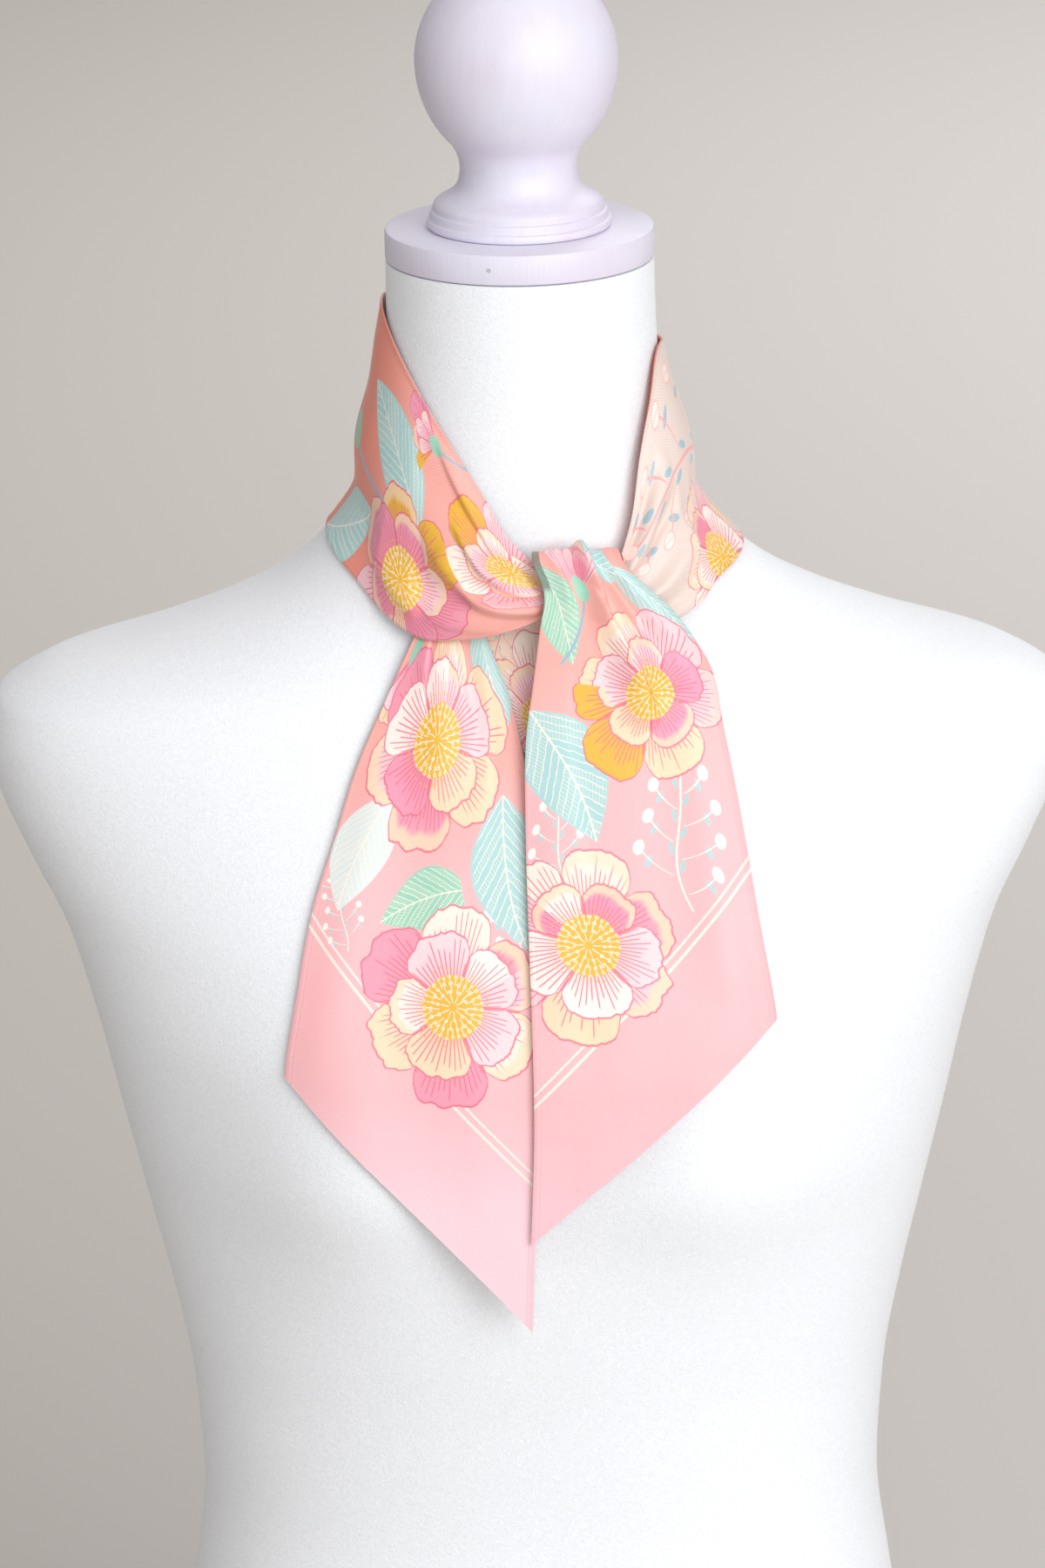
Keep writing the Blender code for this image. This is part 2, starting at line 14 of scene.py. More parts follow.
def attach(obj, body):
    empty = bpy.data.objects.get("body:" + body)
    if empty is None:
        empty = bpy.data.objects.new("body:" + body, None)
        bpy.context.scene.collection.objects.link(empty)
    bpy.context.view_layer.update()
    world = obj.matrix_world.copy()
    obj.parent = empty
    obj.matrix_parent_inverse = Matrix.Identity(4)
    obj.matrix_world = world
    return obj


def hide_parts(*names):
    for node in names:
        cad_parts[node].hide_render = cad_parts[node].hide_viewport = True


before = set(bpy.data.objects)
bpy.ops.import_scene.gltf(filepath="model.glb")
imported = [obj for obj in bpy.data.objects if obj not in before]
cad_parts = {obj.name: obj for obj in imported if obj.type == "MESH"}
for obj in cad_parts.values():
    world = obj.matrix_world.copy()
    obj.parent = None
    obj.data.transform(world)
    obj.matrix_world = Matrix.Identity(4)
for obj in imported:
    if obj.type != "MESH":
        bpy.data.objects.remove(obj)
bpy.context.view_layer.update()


# Camera: a long lens a little above the finial, looking down at the neck from the front.
CAMERA_AWAY = 2.6175
CAMERA_HEIGHT = 1.3738
CAMERA_PITCH = math.radians(17.7)
CAMERA_ROLL = math.radians(1.0)
SENSOR_MM = 36.0
LENS_MM = 156.18
LENS_SHIFT = -0.00417

lens = bpy.data.cameras.new("photo_camera")
lens.sensor_width = SENSOR_MM
lens.lens = LENS_MM
lens.shift_x = LENS_SHIFT
camera = bpy.data.objects.new("photo_camera", lens)
bpy.context.scene.collection.objects.link(camera)
away = Matrix.Translation((0.0, -CAMERA_AWAY, CAMERA_HEIGHT))
pitched = Matrix.Rotation(math.radians(90.0) - CAMERA_PITCH, 4, "X")
camera.matrix_world = away @ pitched @ Matrix.Rotation(-CAMERA_ROLL, 4, "Z")
bpy.context.scene.camera = camera


# Studio light: a large soft window from the viewer's right, a skylight overhead, one over the far
# floor, a weak broad light from the front, and pale light from all round.
bpy.context.scene.view_settings.view_transform = "Standard"


def studio_light(name, kind, place, aim, spread, power, colour):
    """A light at a place, turned to a point. Its spread is a window's width or a sun's angle."""
    data = bpy.data.lights.new(name, kind)
    data.energy = power
    data.color = colour
    if kind == "SUN":
        data.angle = math.radians(spread)
    else:
        data.shape = "SQUARE"
        data.size = spread
    light = bpy.data.objects.new(name, data)
    bpy.context.scene.collection.objects.link(light)
    light.location = place
    light.rotation_euler = (Vector(aim) - Vector(place)).to_track_quat("-Z", "Y").to_euler()


studio_light("window_right", "AREA", (1.7, -2.8, 1.9), (0.0, 0.0, 0.5), 2.3, 82.0, (0.975, 0.99, 1.0))
studio_light("skylight", "AREA", (-0.4, -0.9, 3.4), (-0.1, 0.0, 0.0), 3.6, 22.0, (0.98, 0.99, 1.0))
studio_light("window_behind", "AREA", (1.0, 3.4, 2.9), (0.7, 3.2, 0.0), 2.6, 72.0, (0.98, 0.99, 1.0))
studio_light("front_fill", "SUN", (0.1, -4.9, 0.55), (0.0, 0.0, 0.0), 24.0, 0.58, (0.97, 0.98, 1.0))
sky = bpy.data.worlds.new("pale_room")
bpy.context.scene.world = sky
sky.use_nodes = True
room = sky.node_tree.nodes["Background"].inputs
room["Color"].default_value = (1.0, 0.945, 0.92, 1.0)
room["Strength"].default_value = 0.40


# Floor: a pale matt sheet far wider than the object, a little warmer and darker to the left,
# which is painted shade. It is the whole background, because the camera looks down.
def srgb(red, green, blue):
    """A display colour from 0 to 255 as linear light."""
    return tuple(((c / 255 + 0.055) / 1.055) ** 2.4 for c in (red, green, blue))


class Wire:
    """A shader socket that can be used in sums."""

    def __init__(self, tree, socket):
        self.tree = tree
        self.socket = socket

    def node(self, kind, settings=None, inputs=None, output=0):
        """Any node: its settings first, then the values or wires of its sockets."""
        made = self.tree.nodes.new(kind)
        for name, value in (settings or {}).items():
            setattr(made, name, value)
        for key, value in (inputs or {}).items():
            if isinstance(value, Wire):
                self.tree.links.new(value.socket, made.inputs[key])
            else:
                made.inputs[key].default_value = value
        return Wire(self.tree, made.outputs[output])

    def math(self, operation, *values):
        return self.node("ShaderNodeMath", {"operation": operation}, dict(enumerate(values)))

    def __add__(self, other):
        return self.math("ADD", self, other)

    __radd__ = __add__

    def __sub__(self, other):
        return self.math("SUBTRACT", self, other)

    def __rsub__(self, other):
        return self.math("SUBTRACT", other, self)

    def __mul__(self, other):
        return self.math("MULTIPLY", self, other)

    __rmul__ = __mul__

    def __truediv__(self, other):
        return self.math("DIVIDE", self, other)

    def __rtruediv__(self, other):
        return self.math("DIVIDE", other, self)

    def __pow__(self, power):
        return self.math("POWER", self, power)

    def __abs__(self):
        return self.math("ABSOLUTE", self)

    def below(self, limit, soft):
        """1 where the value is under the limit, 0 where it is over it, with a soft change."""
        settings = {"interpolation_type": "SMOOTHSTEP", "clamp": True}
        span = {0: self, 1: limit - soft, 2: limit + soft, 3: 1.0, 4: 0.0}
        return self.node("ShaderNodeMapRange", settings, span)

    def whole(self):
        """The nearest whole number."""
        return self.math("ROUND", self)

    def off_whole(self):
        """The distance to the nearest whole number."""
        return abs(self - self.whole())

    def both(self, other):
        return self.math("MINIMUM", self, other)

    def either(self, other):
        return self.math("MAXIMUM", self, other)

    def ramp(self, interpolation, stops):
        """A colour by this number, through stops of a number from 0 to 1 and a colour."""
        made = self.node("ShaderNodeValToRGB", None, {0: self})
        ramp = made.socket.node.color_ramp
        ramp.interpolation = interpolation
        while len(ramp.elements) < len(stops):
            ramp.elements.new(0.5)
        for stop, (place, colour) in zip(ramp.elements, stops):
            stop.position = place
            stop.color = (*colour, 1.0)
        return made

    def blend(self, low, high):
        """A colour between two, by this number from 0 to 1."""
        ends = {0: self, 6: (*low, 1.0), 7: (*high, 1.0)}
        return self.node("ShaderNodeMix", {"data_type": "RGBA"}, ends, 2)

    def tinted(self, amount, colour):
        """This colour, changed towards another one."""
        if not isinstance(colour, Wire):
            colour = (*colour, 1.0)
        return self.node("ShaderNodeMix", {"data_type": "RGBA"}, {0: amount, 6: self, 7: colour}, 2)

    def shaded(self, factor):
        """This colour, made lighter or darker by a factor."""
        settings = {"data_type": "RGBA", "blend_type": "MULTIPLY"}
        grey = self.node("ShaderNodeCombineXYZ", None, {0: factor, 1: factor, 2: factor})
        return self.node("ShaderNodeMix", settings, {0: 1.0, 6: self, 7: grey}, 2)

    def noise(self, scale, detail=2.0, rough=0.5):
        inputs = {"Vector": self, "Scale": scale, "Detail": detail, "Roughness": rough}
        return self.node("ShaderNodeTexNoise", None, inputs)


def new_finish(name, roughness):
    """A material with its Principled shader and a wire of Object coordinates."""
    finish = bpy.data.materials.new(name)
    finish.use_nodes = True
    tree = finish.node_tree
    shader = tree.nodes["Principled BSDF"]
    shader.inputs["Roughness"].default_value = roughness
    here = Wire(tree, tree.nodes.new("ShaderNodeTexCoord").outputs["Object"])
    return finish, shader, here


def plug(wire, shader, socket):
    wire.tree.links.new(wire.socket, shader.inputs[socket])


def bumped(height, strength, distance):
    """A Normal wire from a height of 0 to 1, which stands for a distance in metres."""
    inputs = {"Strength": strength, "Distance": distance, "Height": height}
    return height.node("ShaderNodeBump", None, inputs)


FLOOR_RADIUS = 14.0
FLOOR_BELOW = 0.0005
FLOOR_CHANGE = 0.9
floor_paint, shader, here = new_finish("floor_paint", 0.95)
across = here.node("ShaderNodeSeparateXYZ", None, {0: here})
# Painted shade: the floor's colour ramps darker and warmer towards the left, away from the window light.
span = {0: across, 1: -FLOOR_CHANGE, 2: FLOOR_CHANGE, 3: 0.0, 4: 1.0}
ramp = here.node("ShaderNodeMapRange", {"interpolation_type": "SMOOTHSTEP"}, span)
plug(ramp.blend(srgb(191, 187, 180), srgb(208, 204, 201)), shader, "Base Color")
bpy.ops.mesh.primitive_circle_add(
    vertices=96, radius=FLOOR_RADIUS, fill_type="NGON", location=(0.0, 0.0, -FLOOR_BELOW)
)
floor = bpy.context.object
floor.name = "studio_floor"
floor.data.materials.append(floor_paint)


# Dress form: a foam torso from the hip cut to the top of the neck, with no arms, under a tight
# white jersey cover with a fine nap. A table gives its level sections.
NECK_TOP = 0.757
FORM_SIDES = 160
HIP_ROUNDING = 0.004
HIP_HALF_WIDTH = 0.17
HIP_HALF_DEPTH = 0.12
BUST_APART = 0.078
BUST_HEIGHT = 0.415
BUST_RADIUS = 0.046
BUST_UNDER = 0.052
BUST_ABOVE = 0.078
BUST_PROUD = 0.015
# height, half width, front depth, back depth, squareness
FORM_SECTIONS = (
    (0.000, 0.1740, 0.1180, 0.1280, 2.30),
    (0.040, 0.1760, 0.1210, 0.1310, 2.30),
    (0.100, 0.1680, 0.1160, 0.1240, 2.30),
    (0.160, 0.1520, 0.1050, 0.1090, 2.28),
    (0.200, 0.1450, 0.0990, 0.0980, 2.25),
    (0.244, 0.1400, 0.0960, 0.0920, 2.22),
    (0.290, 0.1428, 0.0990, 0.0940, 2.22),
    (0.330, 0.1498, 0.1050, 0.0980, 2.22),
    (0.370, 0.1590, 0.1110, 0.1030, 2.22),
    (0.410, 0.1682, 0.1170, 0.1070, 2.25),
    (0.450, 0.1772, 0.1170, 0.1090, 2.30),
    (0.490, 0.1885, 0.1110, 0.1080, 2.35),
    (0.520, 0.2025, 0.1020, 0.1040, 2.40),
    (0.548, 0.2140, 0.0936, 0.0986, 2.40),
    (0.566, 0.2172, 0.0880, 0.0934, 2.40),
    (0.580, 0.2148, 0.0828, 0.0884, 2.38),
    (0.593, 0.1968, 0.0778, 0.0836, 2.30),
    (0.605, 0.1575, 0.0730, 0.0786, 2.20),
    (0.616, 0.1270, 0.0694, 0.0743, 2.10),
    (0.628, 0.1020, 0.0655, 0.0697, 2.05),
    (0.641, 0.0850, 0.0620, 0.0650, 2.00),
    (0.657, 0.0710, 0.0590, 0.0610, 2.00),
    (0.672, 0.0630, 0.0570, 0.0580, 2.00),
    (0.690, 0.0575, 0.0550, 0.0555, 2.00),
    (0.712, 0.0545, 0.0535, 0.0540, 2.00),
    (0.735, 0.0533, 0.0531, 0.0532, 2.00),
    (NECK_TOP, 0.0530, 0.0530, 0.0530, 2.00),
)


def through(rows, at, steady=False):
    """The other columns of a table's rows, at places between those of its first column.

    The curve is a cubic; a steady one never overshoots.
    """
    rows = np.array(rows)
    places, values = rows[:, 0], rows[:, 1:]
    rise = np.diff(values, axis=0) / np.diff(places)[:, None]
    if steady:
        before, after = rise[:-1], rise[1:]
        same = before * after > 0.0
        middle = np.where(same, 2 * before * after / np.where(same, before + after, 1.0), 0.0)
    else:
        middle = (values[2:] - values[:-2]) / (places[2:] - places[:-2])[:, None]
    slopes = np.vstack((rise[:1], middle, rise[-1:]))
    span = np.clip(np.searchsorted(places, at) - 1, 0, len(places) - 2)
    step = (places[span + 1] - places[span])[..., None]
    t = (at - places[span])[..., None] / step
    t2, t3 = t * t, t * t * t
    return (
        (2 * t3 - 3 * t2 + 1) * values[span]
        + (t3 - 2 * t2 + t) * step * slopes[span]
        + (3 * t2 - 2 * t3) * values[span + 1]
        + (t3 - t2) * step * slopes[span + 1]
    )


def form_section(height):
    """The half width, front depth, back depth and squareness at heights."""
    return np.moveaxis(through(FORM_SECTIONS, np.clip(height, 0.0, NECK_TOP), True), -1, 0)


def bust_depth(x, height):
    sideways = (np.abs(x) - BUST_APART) / BUST_RADIUS
    upwards = (height - BUST_HEIGHT) / np.where(height < BUST_HEIGHT, BUST_UNDER, BUST_ABOVE)
    return BUST_PROUD * np.exp(-sideways * sideways - upwards * upwards)


def smooth_piece(name, points, faces, smooth_angle):
    """A piece from points and faces, shaded smooth where they meet at less than the angle."""
    mesh = bpy.data.meshes.new(name)
    mesh.from_pydata(points.reshape(-1, 3).tolist(), [], faces)
    mesh.shade_smooth()
    mesh.set_sharp_from_angle(angle=math.radians(smooth_angle))
    piece = bpy.data.objects.new(name, mesh)
    bpy.context.scene.collection.objects.link(piece)
    return piece


def lofted(name, rings):
    """A closed piece through an array of rings of points, with a flat face at each end."""
    levels, sides = rings.shape[:2]
    grid = np.arange(levels * sides).reshape(levels, sides)
    after = np.roll(grid, -1, axis=1)
    walls = np.stack((grid[:-1], after[:-1], after[1:], grid[1:]), axis=-1).reshape(-1, 4)
    faces = walls.tolist() + [grid[0, ::-1].tolist(), grid[-1].tolist()]
    return smooth_piece(name, rings, faces, 40.0)


def signed_power(value, power):
    return np.sign(value) * np.abs(value) ** power


def form_rings(heights):
    turn = 2.0 * np.pi * np.arange(FORM_SIDES) / FORM_SIDES
    half_width, front, back, power = (column[:, None] for column in form_section(heights))
    cosine, sine = np.cos(turn), np.sin(turn)
    x = half_width * signed_power(cosine, 2.0 / power)
    y = np.where(sine > 0.0, back, front) * signed_power(sine, 2.0 / power)
    z = np.broadcast_to(heights[:, None], x.shape)
    y = np.where(sine < -1e-6, y - bust_depth(x, z), y)
    return np.stack((x, y, z), axis=-1)


chest = np.linspace(HIP_ROUNDING, 0.58, 96)
shoulders = np.linspace(0.5825, 0.68, 60)
neck = np.linspace(0.6825, NECK_TOP, 24)
rings = form_rings(np.concatenate((chest, shoulders, neck)))
shrink = np.array((1.0 - HIP_ROUNDING / HIP_HALF_WIDTH, 1.0 - HIP_ROUNDING / HIP_HALF_DEPTH, 0.0))
jersey_form = lofted("jersey_form", np.concatenate((rings[:1] * shrink, rings)))

jersey, shader, here = new_finish("jersey_cover", 0.9)
nap = here.noise(1900.0, 3.0, 0.6) * 0.55 + here.noise(620.0, 3.0, 0.75) * 0.45
white = here.noise(9.0, 2.0).blend(srgb(240, 243, 247), srgb(245, 248, 252))
plug(white.shaded(nap * 0.42 + 0.785), shader, "Base Color")
plug(bumped(nap, 0.7, 0.0006), shader, "Normal")
shader.inputs["Sheen Weight"].default_value = 0.15
shader.inputs["Specular IOR Level"].default_value = 0.2
jersey_form.data.materials.append(jersey)
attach(jersey_form, "root")
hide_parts("dress_form_body")


# Cap plate: a disc of painted wood, 12 mm thick, that closes the top of the neck. Fine grain
# runs up its edge and shows through the paint.
PLATE_RADIUS = 0.0532
PLATE_BOTTOM = 0.7573
PLATE_TOP = 0.7695
PLATE_EDGE = 0.0012
PLATE_BEVEL = PLATE_EDGE * 0.3
NAIL_ASIDE = -0.0122
NAIL_HEIGHT = 0.7635


def turned_solid(name, profile, sides):
    """A turned piece, grown from a filled circle by extruding and scaling its top face."""
    first_radius, first_height = profile[0]
    bpy.ops.mesh.primitive_circle_add(
        vertices=sides, radius=first_radius, fill_type="NGON", location=(0.0, 0.0, first_height)
    )
    piece = bpy.context.object
    piece.name = name
    bpy.ops.object.mode_set(mode="EDIT")
    bpy.ops.mesh.select_all(action="SELECT")
    for (radius, height), (wider, higher) in zip(profile, profile[1:]):
        rise = (0.0, 0.0, higher - height)
        bpy.ops.mesh.extrude_region_move(TRANSFORM_OT_translate={"value": rise})
        grow = wider / radius
        bpy.ops.transform.resize(value=(grow, grow, 1.0), center_override=(0.0, 0.0, higher))
    bpy.ops.mesh.select_all(action="SELECT")
    bpy.ops.mesh.normals_make_consistent(inside=False)
    bpy.ops.object.mode_set(mode="OBJECT")
    bpy.ops.object.transform_apply(location=True, rotation=True, scale=True)
    piece.data.shade_smooth()
    piece.data.set_sharp_from_angle(angle=math.radians(38.0))
    return piece


def painted_wood_finish(name, grain_across, mark=None):
    """White paint with a faint lilac cast; the grain below it shows as fine lines.

    A mark is the place of a filled nail hole.
    """
    finish, shader, here = new_finish(name, 0.42)
    grain_place = here.node("ShaderNodeMapping", None, {"Vector": here, "Scale": grain_across})
    grain = grain_place.noise(1.0, 4.0, 0.65)
    blotch = here.noise(22.0, 2.0).below(0.55, 0.2)
    paint = blotch.blend(srgb(222, 214, 229), srgb(225, 222, 237)).shaded(0.955 + grain * 0.09)
    if mark is not None:
        apart = here.node("ShaderNodeVectorMath", {"operation": "DISTANCE"}, {0: here, 1: mark}, 1)
        paint = paint.tinted(apart.below(0.0009, 0.0003) * 0.7, srgb(168, 158, 166))
    plug(paint, shader, "Base Color")
    plug(0.36 + grain * 0.16, shader, "Roughness")
    plug(bumped(grain, 0.35, 0.0004), shader, "Normal")
    return finish


plate = turned_solid(
    "painted_cap_plate",
    (
        (PLATE_RADIUS - PLATE_EDGE, PLATE_BOTTOM),
        (PLATE_RADIUS - PLATE_BEVEL, PLATE_BOTTOM + PLATE_BEVEL),
        (PLATE_RADIUS, PLATE_BOTTOM + PLATE_EDGE),
        (PLATE_RADIUS, PLATE_TOP - PLATE_EDGE),
        (PLATE_RADIUS - PLATE_BEVEL, PLATE_TOP - PLATE_BEVEL),
        (PLATE_RADIUS - PLATE_EDGE, PLATE_TOP),
    ),
    160,
)
nail_place = (NAIL_ASIDE, -math.sqrt(PLATE_RADIUS**2 - NAIL_ASIDE**2), NAIL_HEIGHT)
plate.data.materials.append(painted_wood_finish("plate_paint", (900.0, 900.0, 60.0), nail_place))
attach(plate, "root")
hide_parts("neck_cap_plate")


# Finial: one turned piece of painted wood on the plate, three stepped beads, a cove and a ball.
BALL_RADIUS = 0.040
BALL_BELOW = 0.044
BALL_ABOVE = 0.040
BALL_HEIGHT = 0.836
BALL_FROM = -49.0
BALL_TURN = 138.0
BALL_STEPS = 32
COVE_RADIUS = 0.023
COVE_HEIGHT = 0.7925
FOOT_GAP = 0.0003
# radius and height above the foot
beads = (
    (0.0358, 0.0000),
    (0.0364, 0.0006),
    (0.0366, 0.0018),
    (0.0363, 0.0030),
    (0.0352, 0.0035),
    (0.0350, 0.0040),
    (0.0352, 0.0052),
    (0.0349, 0.0064),
    (0.0339, 0.0069),
    (0.0337, 0.0074),
    (0.0339, 0.0085),
    (0.0335, 0.0096),
    (0.0322, 0.0108),
    (0.0301, 0.0120),
    (0.0280, 0.0132),
    (0.0260, 0.0147),
    (0.0245, 0.0165),
    (0.0236, 0.0188),
)
cove = ((0.0, 0.0), (0.0001, 0.0020), (0.0004, 0.0040), (0.0010, 0.0060), (0.0018, 0.0080))
profile = [(radius, PLATE_TOP + FOOT_GAP + height) for radius, height in beads]
profile += [(COVE_RADIUS + wider, COVE_HEIGHT + higher) for wider, higher in cove]
for step in range(BALL_STEPS + 1):
    turn = math.radians(BALL_FROM + BALL_TURN * step / BALL_STEPS)
    reach = BALL_BELOW if turn < 0.0 else BALL_ABOVE
    profile.append((BALL_RADIUS * math.cos(turn), BALL_HEIGHT + reach * math.sin(turn)))
finial = turned_solid("painted_finial", profile, 128)
finial.data.materials.append(painted_wood_finish("finial_paint", (260.0, 260.0, 40.0)))
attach(finial, "root")
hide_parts("turned_finial")


# Scarf: one narrow strip of silk twill, 95 mm wide and about 1.1 m along its long edge, with both
# ends cut on the slant. The pink printed face is outside on the viewer's left, the cream reverse
# on the viewer's right. Its edges are rolled and sewn.
SCARF_WIDTH = 0.095
SILK = 0.0005
HEM = 0.0005
HEM_WIDTH = 0.0020
HEM_STITCH = 0.0026
HEM_LANES = np.array((0.0, 0.0005, 0.0012, 0.0019))
SILK_CLEARANCE = 0.0014
CREASE_STEEPNESS = 0.22
FOLD_FADING = 4
CREASE_FADING = 3
HANG_HEIGHT = BUST_HEIGHT + 0.010
BRIDGE_REACH = 0.100
BRIDGE_STEPS = 10


def chest_depth(x, height):
    """How far the form's front stands before the neck axis."""
    half_width, front, _, power = form_section(height)
    share = np.minimum(np.abs(x) / half_width, 0.995)
    return front * (1.0 - share**power) ** (1.0 / power) + bust_depth(x, height)


def on_chest(x, height, off):
    """Points before the chest. Cloth bridges the hollow between the busts and hangs below them."""
    level = np.maximum(height, HANG_HEIGHT)
    reach = np.maximum(BRIDGE_REACH - np.abs(x), 0.0)
    steps = [chest_depth(np.abs(x) + reach * k / BRIDGE_STEPS, level) for k in range(BRIDGE_STEPS + 1)]
    return np.stack((x, -np.max(steps, axis=0) - off, height), axis=-1)


def form_radius(angle, height):
    """The distance from the neck's axis to the form, at angles from the front."""
    half_width, front, back, power = form_section(height)
    turn = np.radians(angle)
    depth = np.where(np.cos(turn) > 0.0, front, back)
    across = np.abs(np.sin(turn)) / half_width
    along = np.abs(np.cos(turn)) / depth
    return (across**power + along**power) ** (-1.0 / power)


def from_axis(angle, height, radius):
    turn = np.radians(angle)
    return np.stack((-radius * np.sin(turn), -radius * np.cos(turn), height), axis=-1)


def form_excess(points):
    """Below zero inside the form's plain sections, above zero outside them."""
    half_width, front, back, power = form_section(points[..., 2])
    depth = np.where(points[..., 1] < 0.0, front, back)
    x, y = np.abs(points[..., 0]), np.abs(points[..., 1])
    return (x / half_width) ** power + (y / depth) ** power - 1.0


def keep_off_form(points):
    """The points, pushed out of the form where they lie nearer than the silk's clearance."""
    nudge, passes = 0.0005, 5
    for _ in range(passes):
        here = form_excess(points)
        slope = [(form_excess(points + nudge * axis) - here) / nudge for axis in np.eye(3)]
        slope = np.stack(slope, axis=-1)
        steep = np.linalg.norm(slope, axis=-1)
        short = np.maximum(SILK_CLEARANCE - here / steep, 0.0)
        points = points + slope / steep[..., None] * short[..., None]
    return points


def neck_rows(sides, twists):
    """Rows round the neck as along, two ends of (angle, height, radius) and belly."""

    def placed(angle, height, off):
        return np.array((angle, height, float(form_radius(angle, height)) + off))

    found = [(row[0], *placed(*row[1:4]), *placed(*row[4:7]), row[7]) for row in sides]
    for along, angle, height, off, width, turn in twists:
        turn = math.radians(turn)
        middle = placed(angle, height, off)
        half = np.array((0.0, math.cos(turn), math.sin(turn))) * width / 2
        found.append((along, *(middle - half), *(middle + half), 0.0))
    return sorted(found)


def raised(lines, along, across, fading, steepness):
    """The height of ridges along lines on the flat cloth, where across runs 0 to 1.

    A steepness under 1 makes them drop faster on one side, where the cloth laps.
    """
    height = np.zeros_like(along)
    for from_along, from_across, to_along, to_across, width, depth in lines:
        run, shift = to_along - from_along, (to_across - from_across) * SCARF_WIDTH
        x, y = along - from_along, (across - from_across) * SCARF_WIDTH
        length = math.hypot(run, shift)
        share = (x * run + y * shift) / length**2
        fade = np.maximum(0.0, 1.0 - np.abs(2.0 * share - 1.0) ** fading)
        aside = (run * y - shift * x) / length
        aside = aside / np.where(aside > 0.0, width, width * steepness)
        height += depth * fade * np.exp(-aside * aside)
    return height


def unit(vectors):
    return vectors / np.linalg.norm(vectors, axis=-1)[..., None]


def silk_points(rows, place, folds, creases, flat, outward):
    """Points of the cloth's middle surface at places on the flat cloth."""
    along, across = flat

    def plain(at, share):
        ends = through(rows, at)
        here = ends[..., :3] + (ends[..., 3:6] - ends[..., :3]) * share[..., None]
        return place(*np.moveaxis(here, -1, 0))

    ahead, beside = 0.002, 0.02
    lengthwise = plain(along + ahead, across) - plain(along - ahead, across)
    crosswise = plain(along, across + beside) - plain(along, across - beside)
    normal = unit(np.cross(lengthwise, crosswise)) * outward
    height = 4.0 * across * (1.0 - across) * through(rows, along)[..., 6]
    height += raised(folds, along, across, FOLD_FADING, 1.0)
    height += raised(creases, along, across, CREASE_FADING, CREASE_STEEPNESS)
    return keep_off_form(plain(along, across) + normal * height[..., None])


def silk_shell(name, points, flat, outward, finishes):
    """A thin closed shell of cloth with a rolled hem on its long sides.

    The printed face is on the side that outward gives, the reverse on the other. The UV map
    holds the place on the flat cloth in metres.
    """
    along, across = flat
    steps, lanes = points.shape[:2]
    normal = unit(np.cross(np.gradient(points, axis=0), np.gradient(points, axis=1))) * outward
    edge = np.minimum(across, 1.0 - across) * SCARF_WIDTH
    hem = np.exp(-((edge / HEM_WIDTH) ** 4)) * np.where(edge < 1e-6, 0.6, 1.0)
    thick = (SILK / 2 + HEM / 2 * hem)[..., None]
    sides = np.stack((points + normal * thick, points - normal * thick))
    grid = np.arange(steps * lanes).reshape(steps, lanes)
    quads = np.stack((grid[:-1, :-1], grid[1:, :-1], grid[1:, 1:], grid[:-1, 1:]), axis=-1)
    quads = quads.reshape(-1, 4)
    rim = np.concatenate((grid[:-1, 0], grid[-1, :-1], grid[:0:-1, -1], grid[0, :0:-1]))
    after = np.roll(rim, -1)
    walls = np.stack((rim + grid.size, after + grid.size, after, rim), axis=-1)
    faces = np.concatenate((quads, quads[:, ::-1] + grid.size, walls))
    piece = smooth_piece(name, sides, faces[:, :: int(outward)].tolist(), 60.0)
    mesh = piece.data
    for finish in finishes:
        mesh.materials.append(finish)
    slots = np.repeat((0, 1, 0), (len(quads), len(quads), len(walls)))
    mesh.polygons.foreach_set("material_index", slots.astype(np.int32))
    cloth = np.stack((across * SCARF_WIDTH, along), axis=-1).reshape(-1, 2)
    cloth = np.concatenate((cloth, cloth))
    corners = np.empty(len(mesh.loops), dtype=np.int32)
    mesh.loops.foreach_get("vertex_index", corners)
    mesh.uv_layers.new(name="cloth").data.foreach_set("uv", cloth[corners].ravel())
    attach(piece, "root")
    return piece


def flat_grid(start, stop, corner, steps, lanes):
    """Places on the flat cloth, closer together at the hems.

    It ends at stop on the long edge and at the corner on the short one.
    """
    inner = np.linspace(HEM_STITCH, SCARF_WIDTH - HEM_STITCH, lanes)
    across = np.concatenate((HEM_LANES, inner, SCARF_WIDTH - HEM_LANES[::-1])) / SCARF_WIDTH
    share = np.linspace(0.0, 1.0, steps + 1)
    ends = corner + (stop - corner) * (1.0 - across)
    along = start + (ends - start) * share[:, None]
    return along, np.broadcast_to(across, along.shape)


# Print: flowers, leaves and budding sprigs in pinks, aqua, mint and mustard on a salmon pink
# ground, with a double cream line inside each slanted end. The twill shows through it as fine
# slanting ribs.
SALMON = srgb(251, 178, 168)
# Painted shade: the loop's ground turns to this deeper coral where the band faces away from the light.
PAINTED_SHADE_CORAL = srgb(242, 143, 122)
SOFT_PINK = srgb(252, 189, 193)
DEEP_ROSE = srgb(234, 110, 138)
CREAM = srgb(253, 242, 228)
PALE_REVERSE = srgb(235, 216, 207)
BLUSH = srgb(252, 214, 208)
PALE_PINK = srgb(254, 214, 223)
PEACH = srgb(253, 220, 186)
MUSTARD = srgb(240, 186, 66)
AQUA = srgb(176, 216, 216)
MINT = srgb(160, 212, 188)
BUD_WHITE = srgb(254, 246, 240)
MIST = srgb(226, 234, 232)
STEM_BLUE = srgb(160, 188, 206)
BORDER_INSET = 0.0600
BORDER_APART = 0.0045
GROUND_REACH = 0.5
RIB_SLANT = 0.82
RIB_PITCH = 0.00125
THREADS = 1100.0


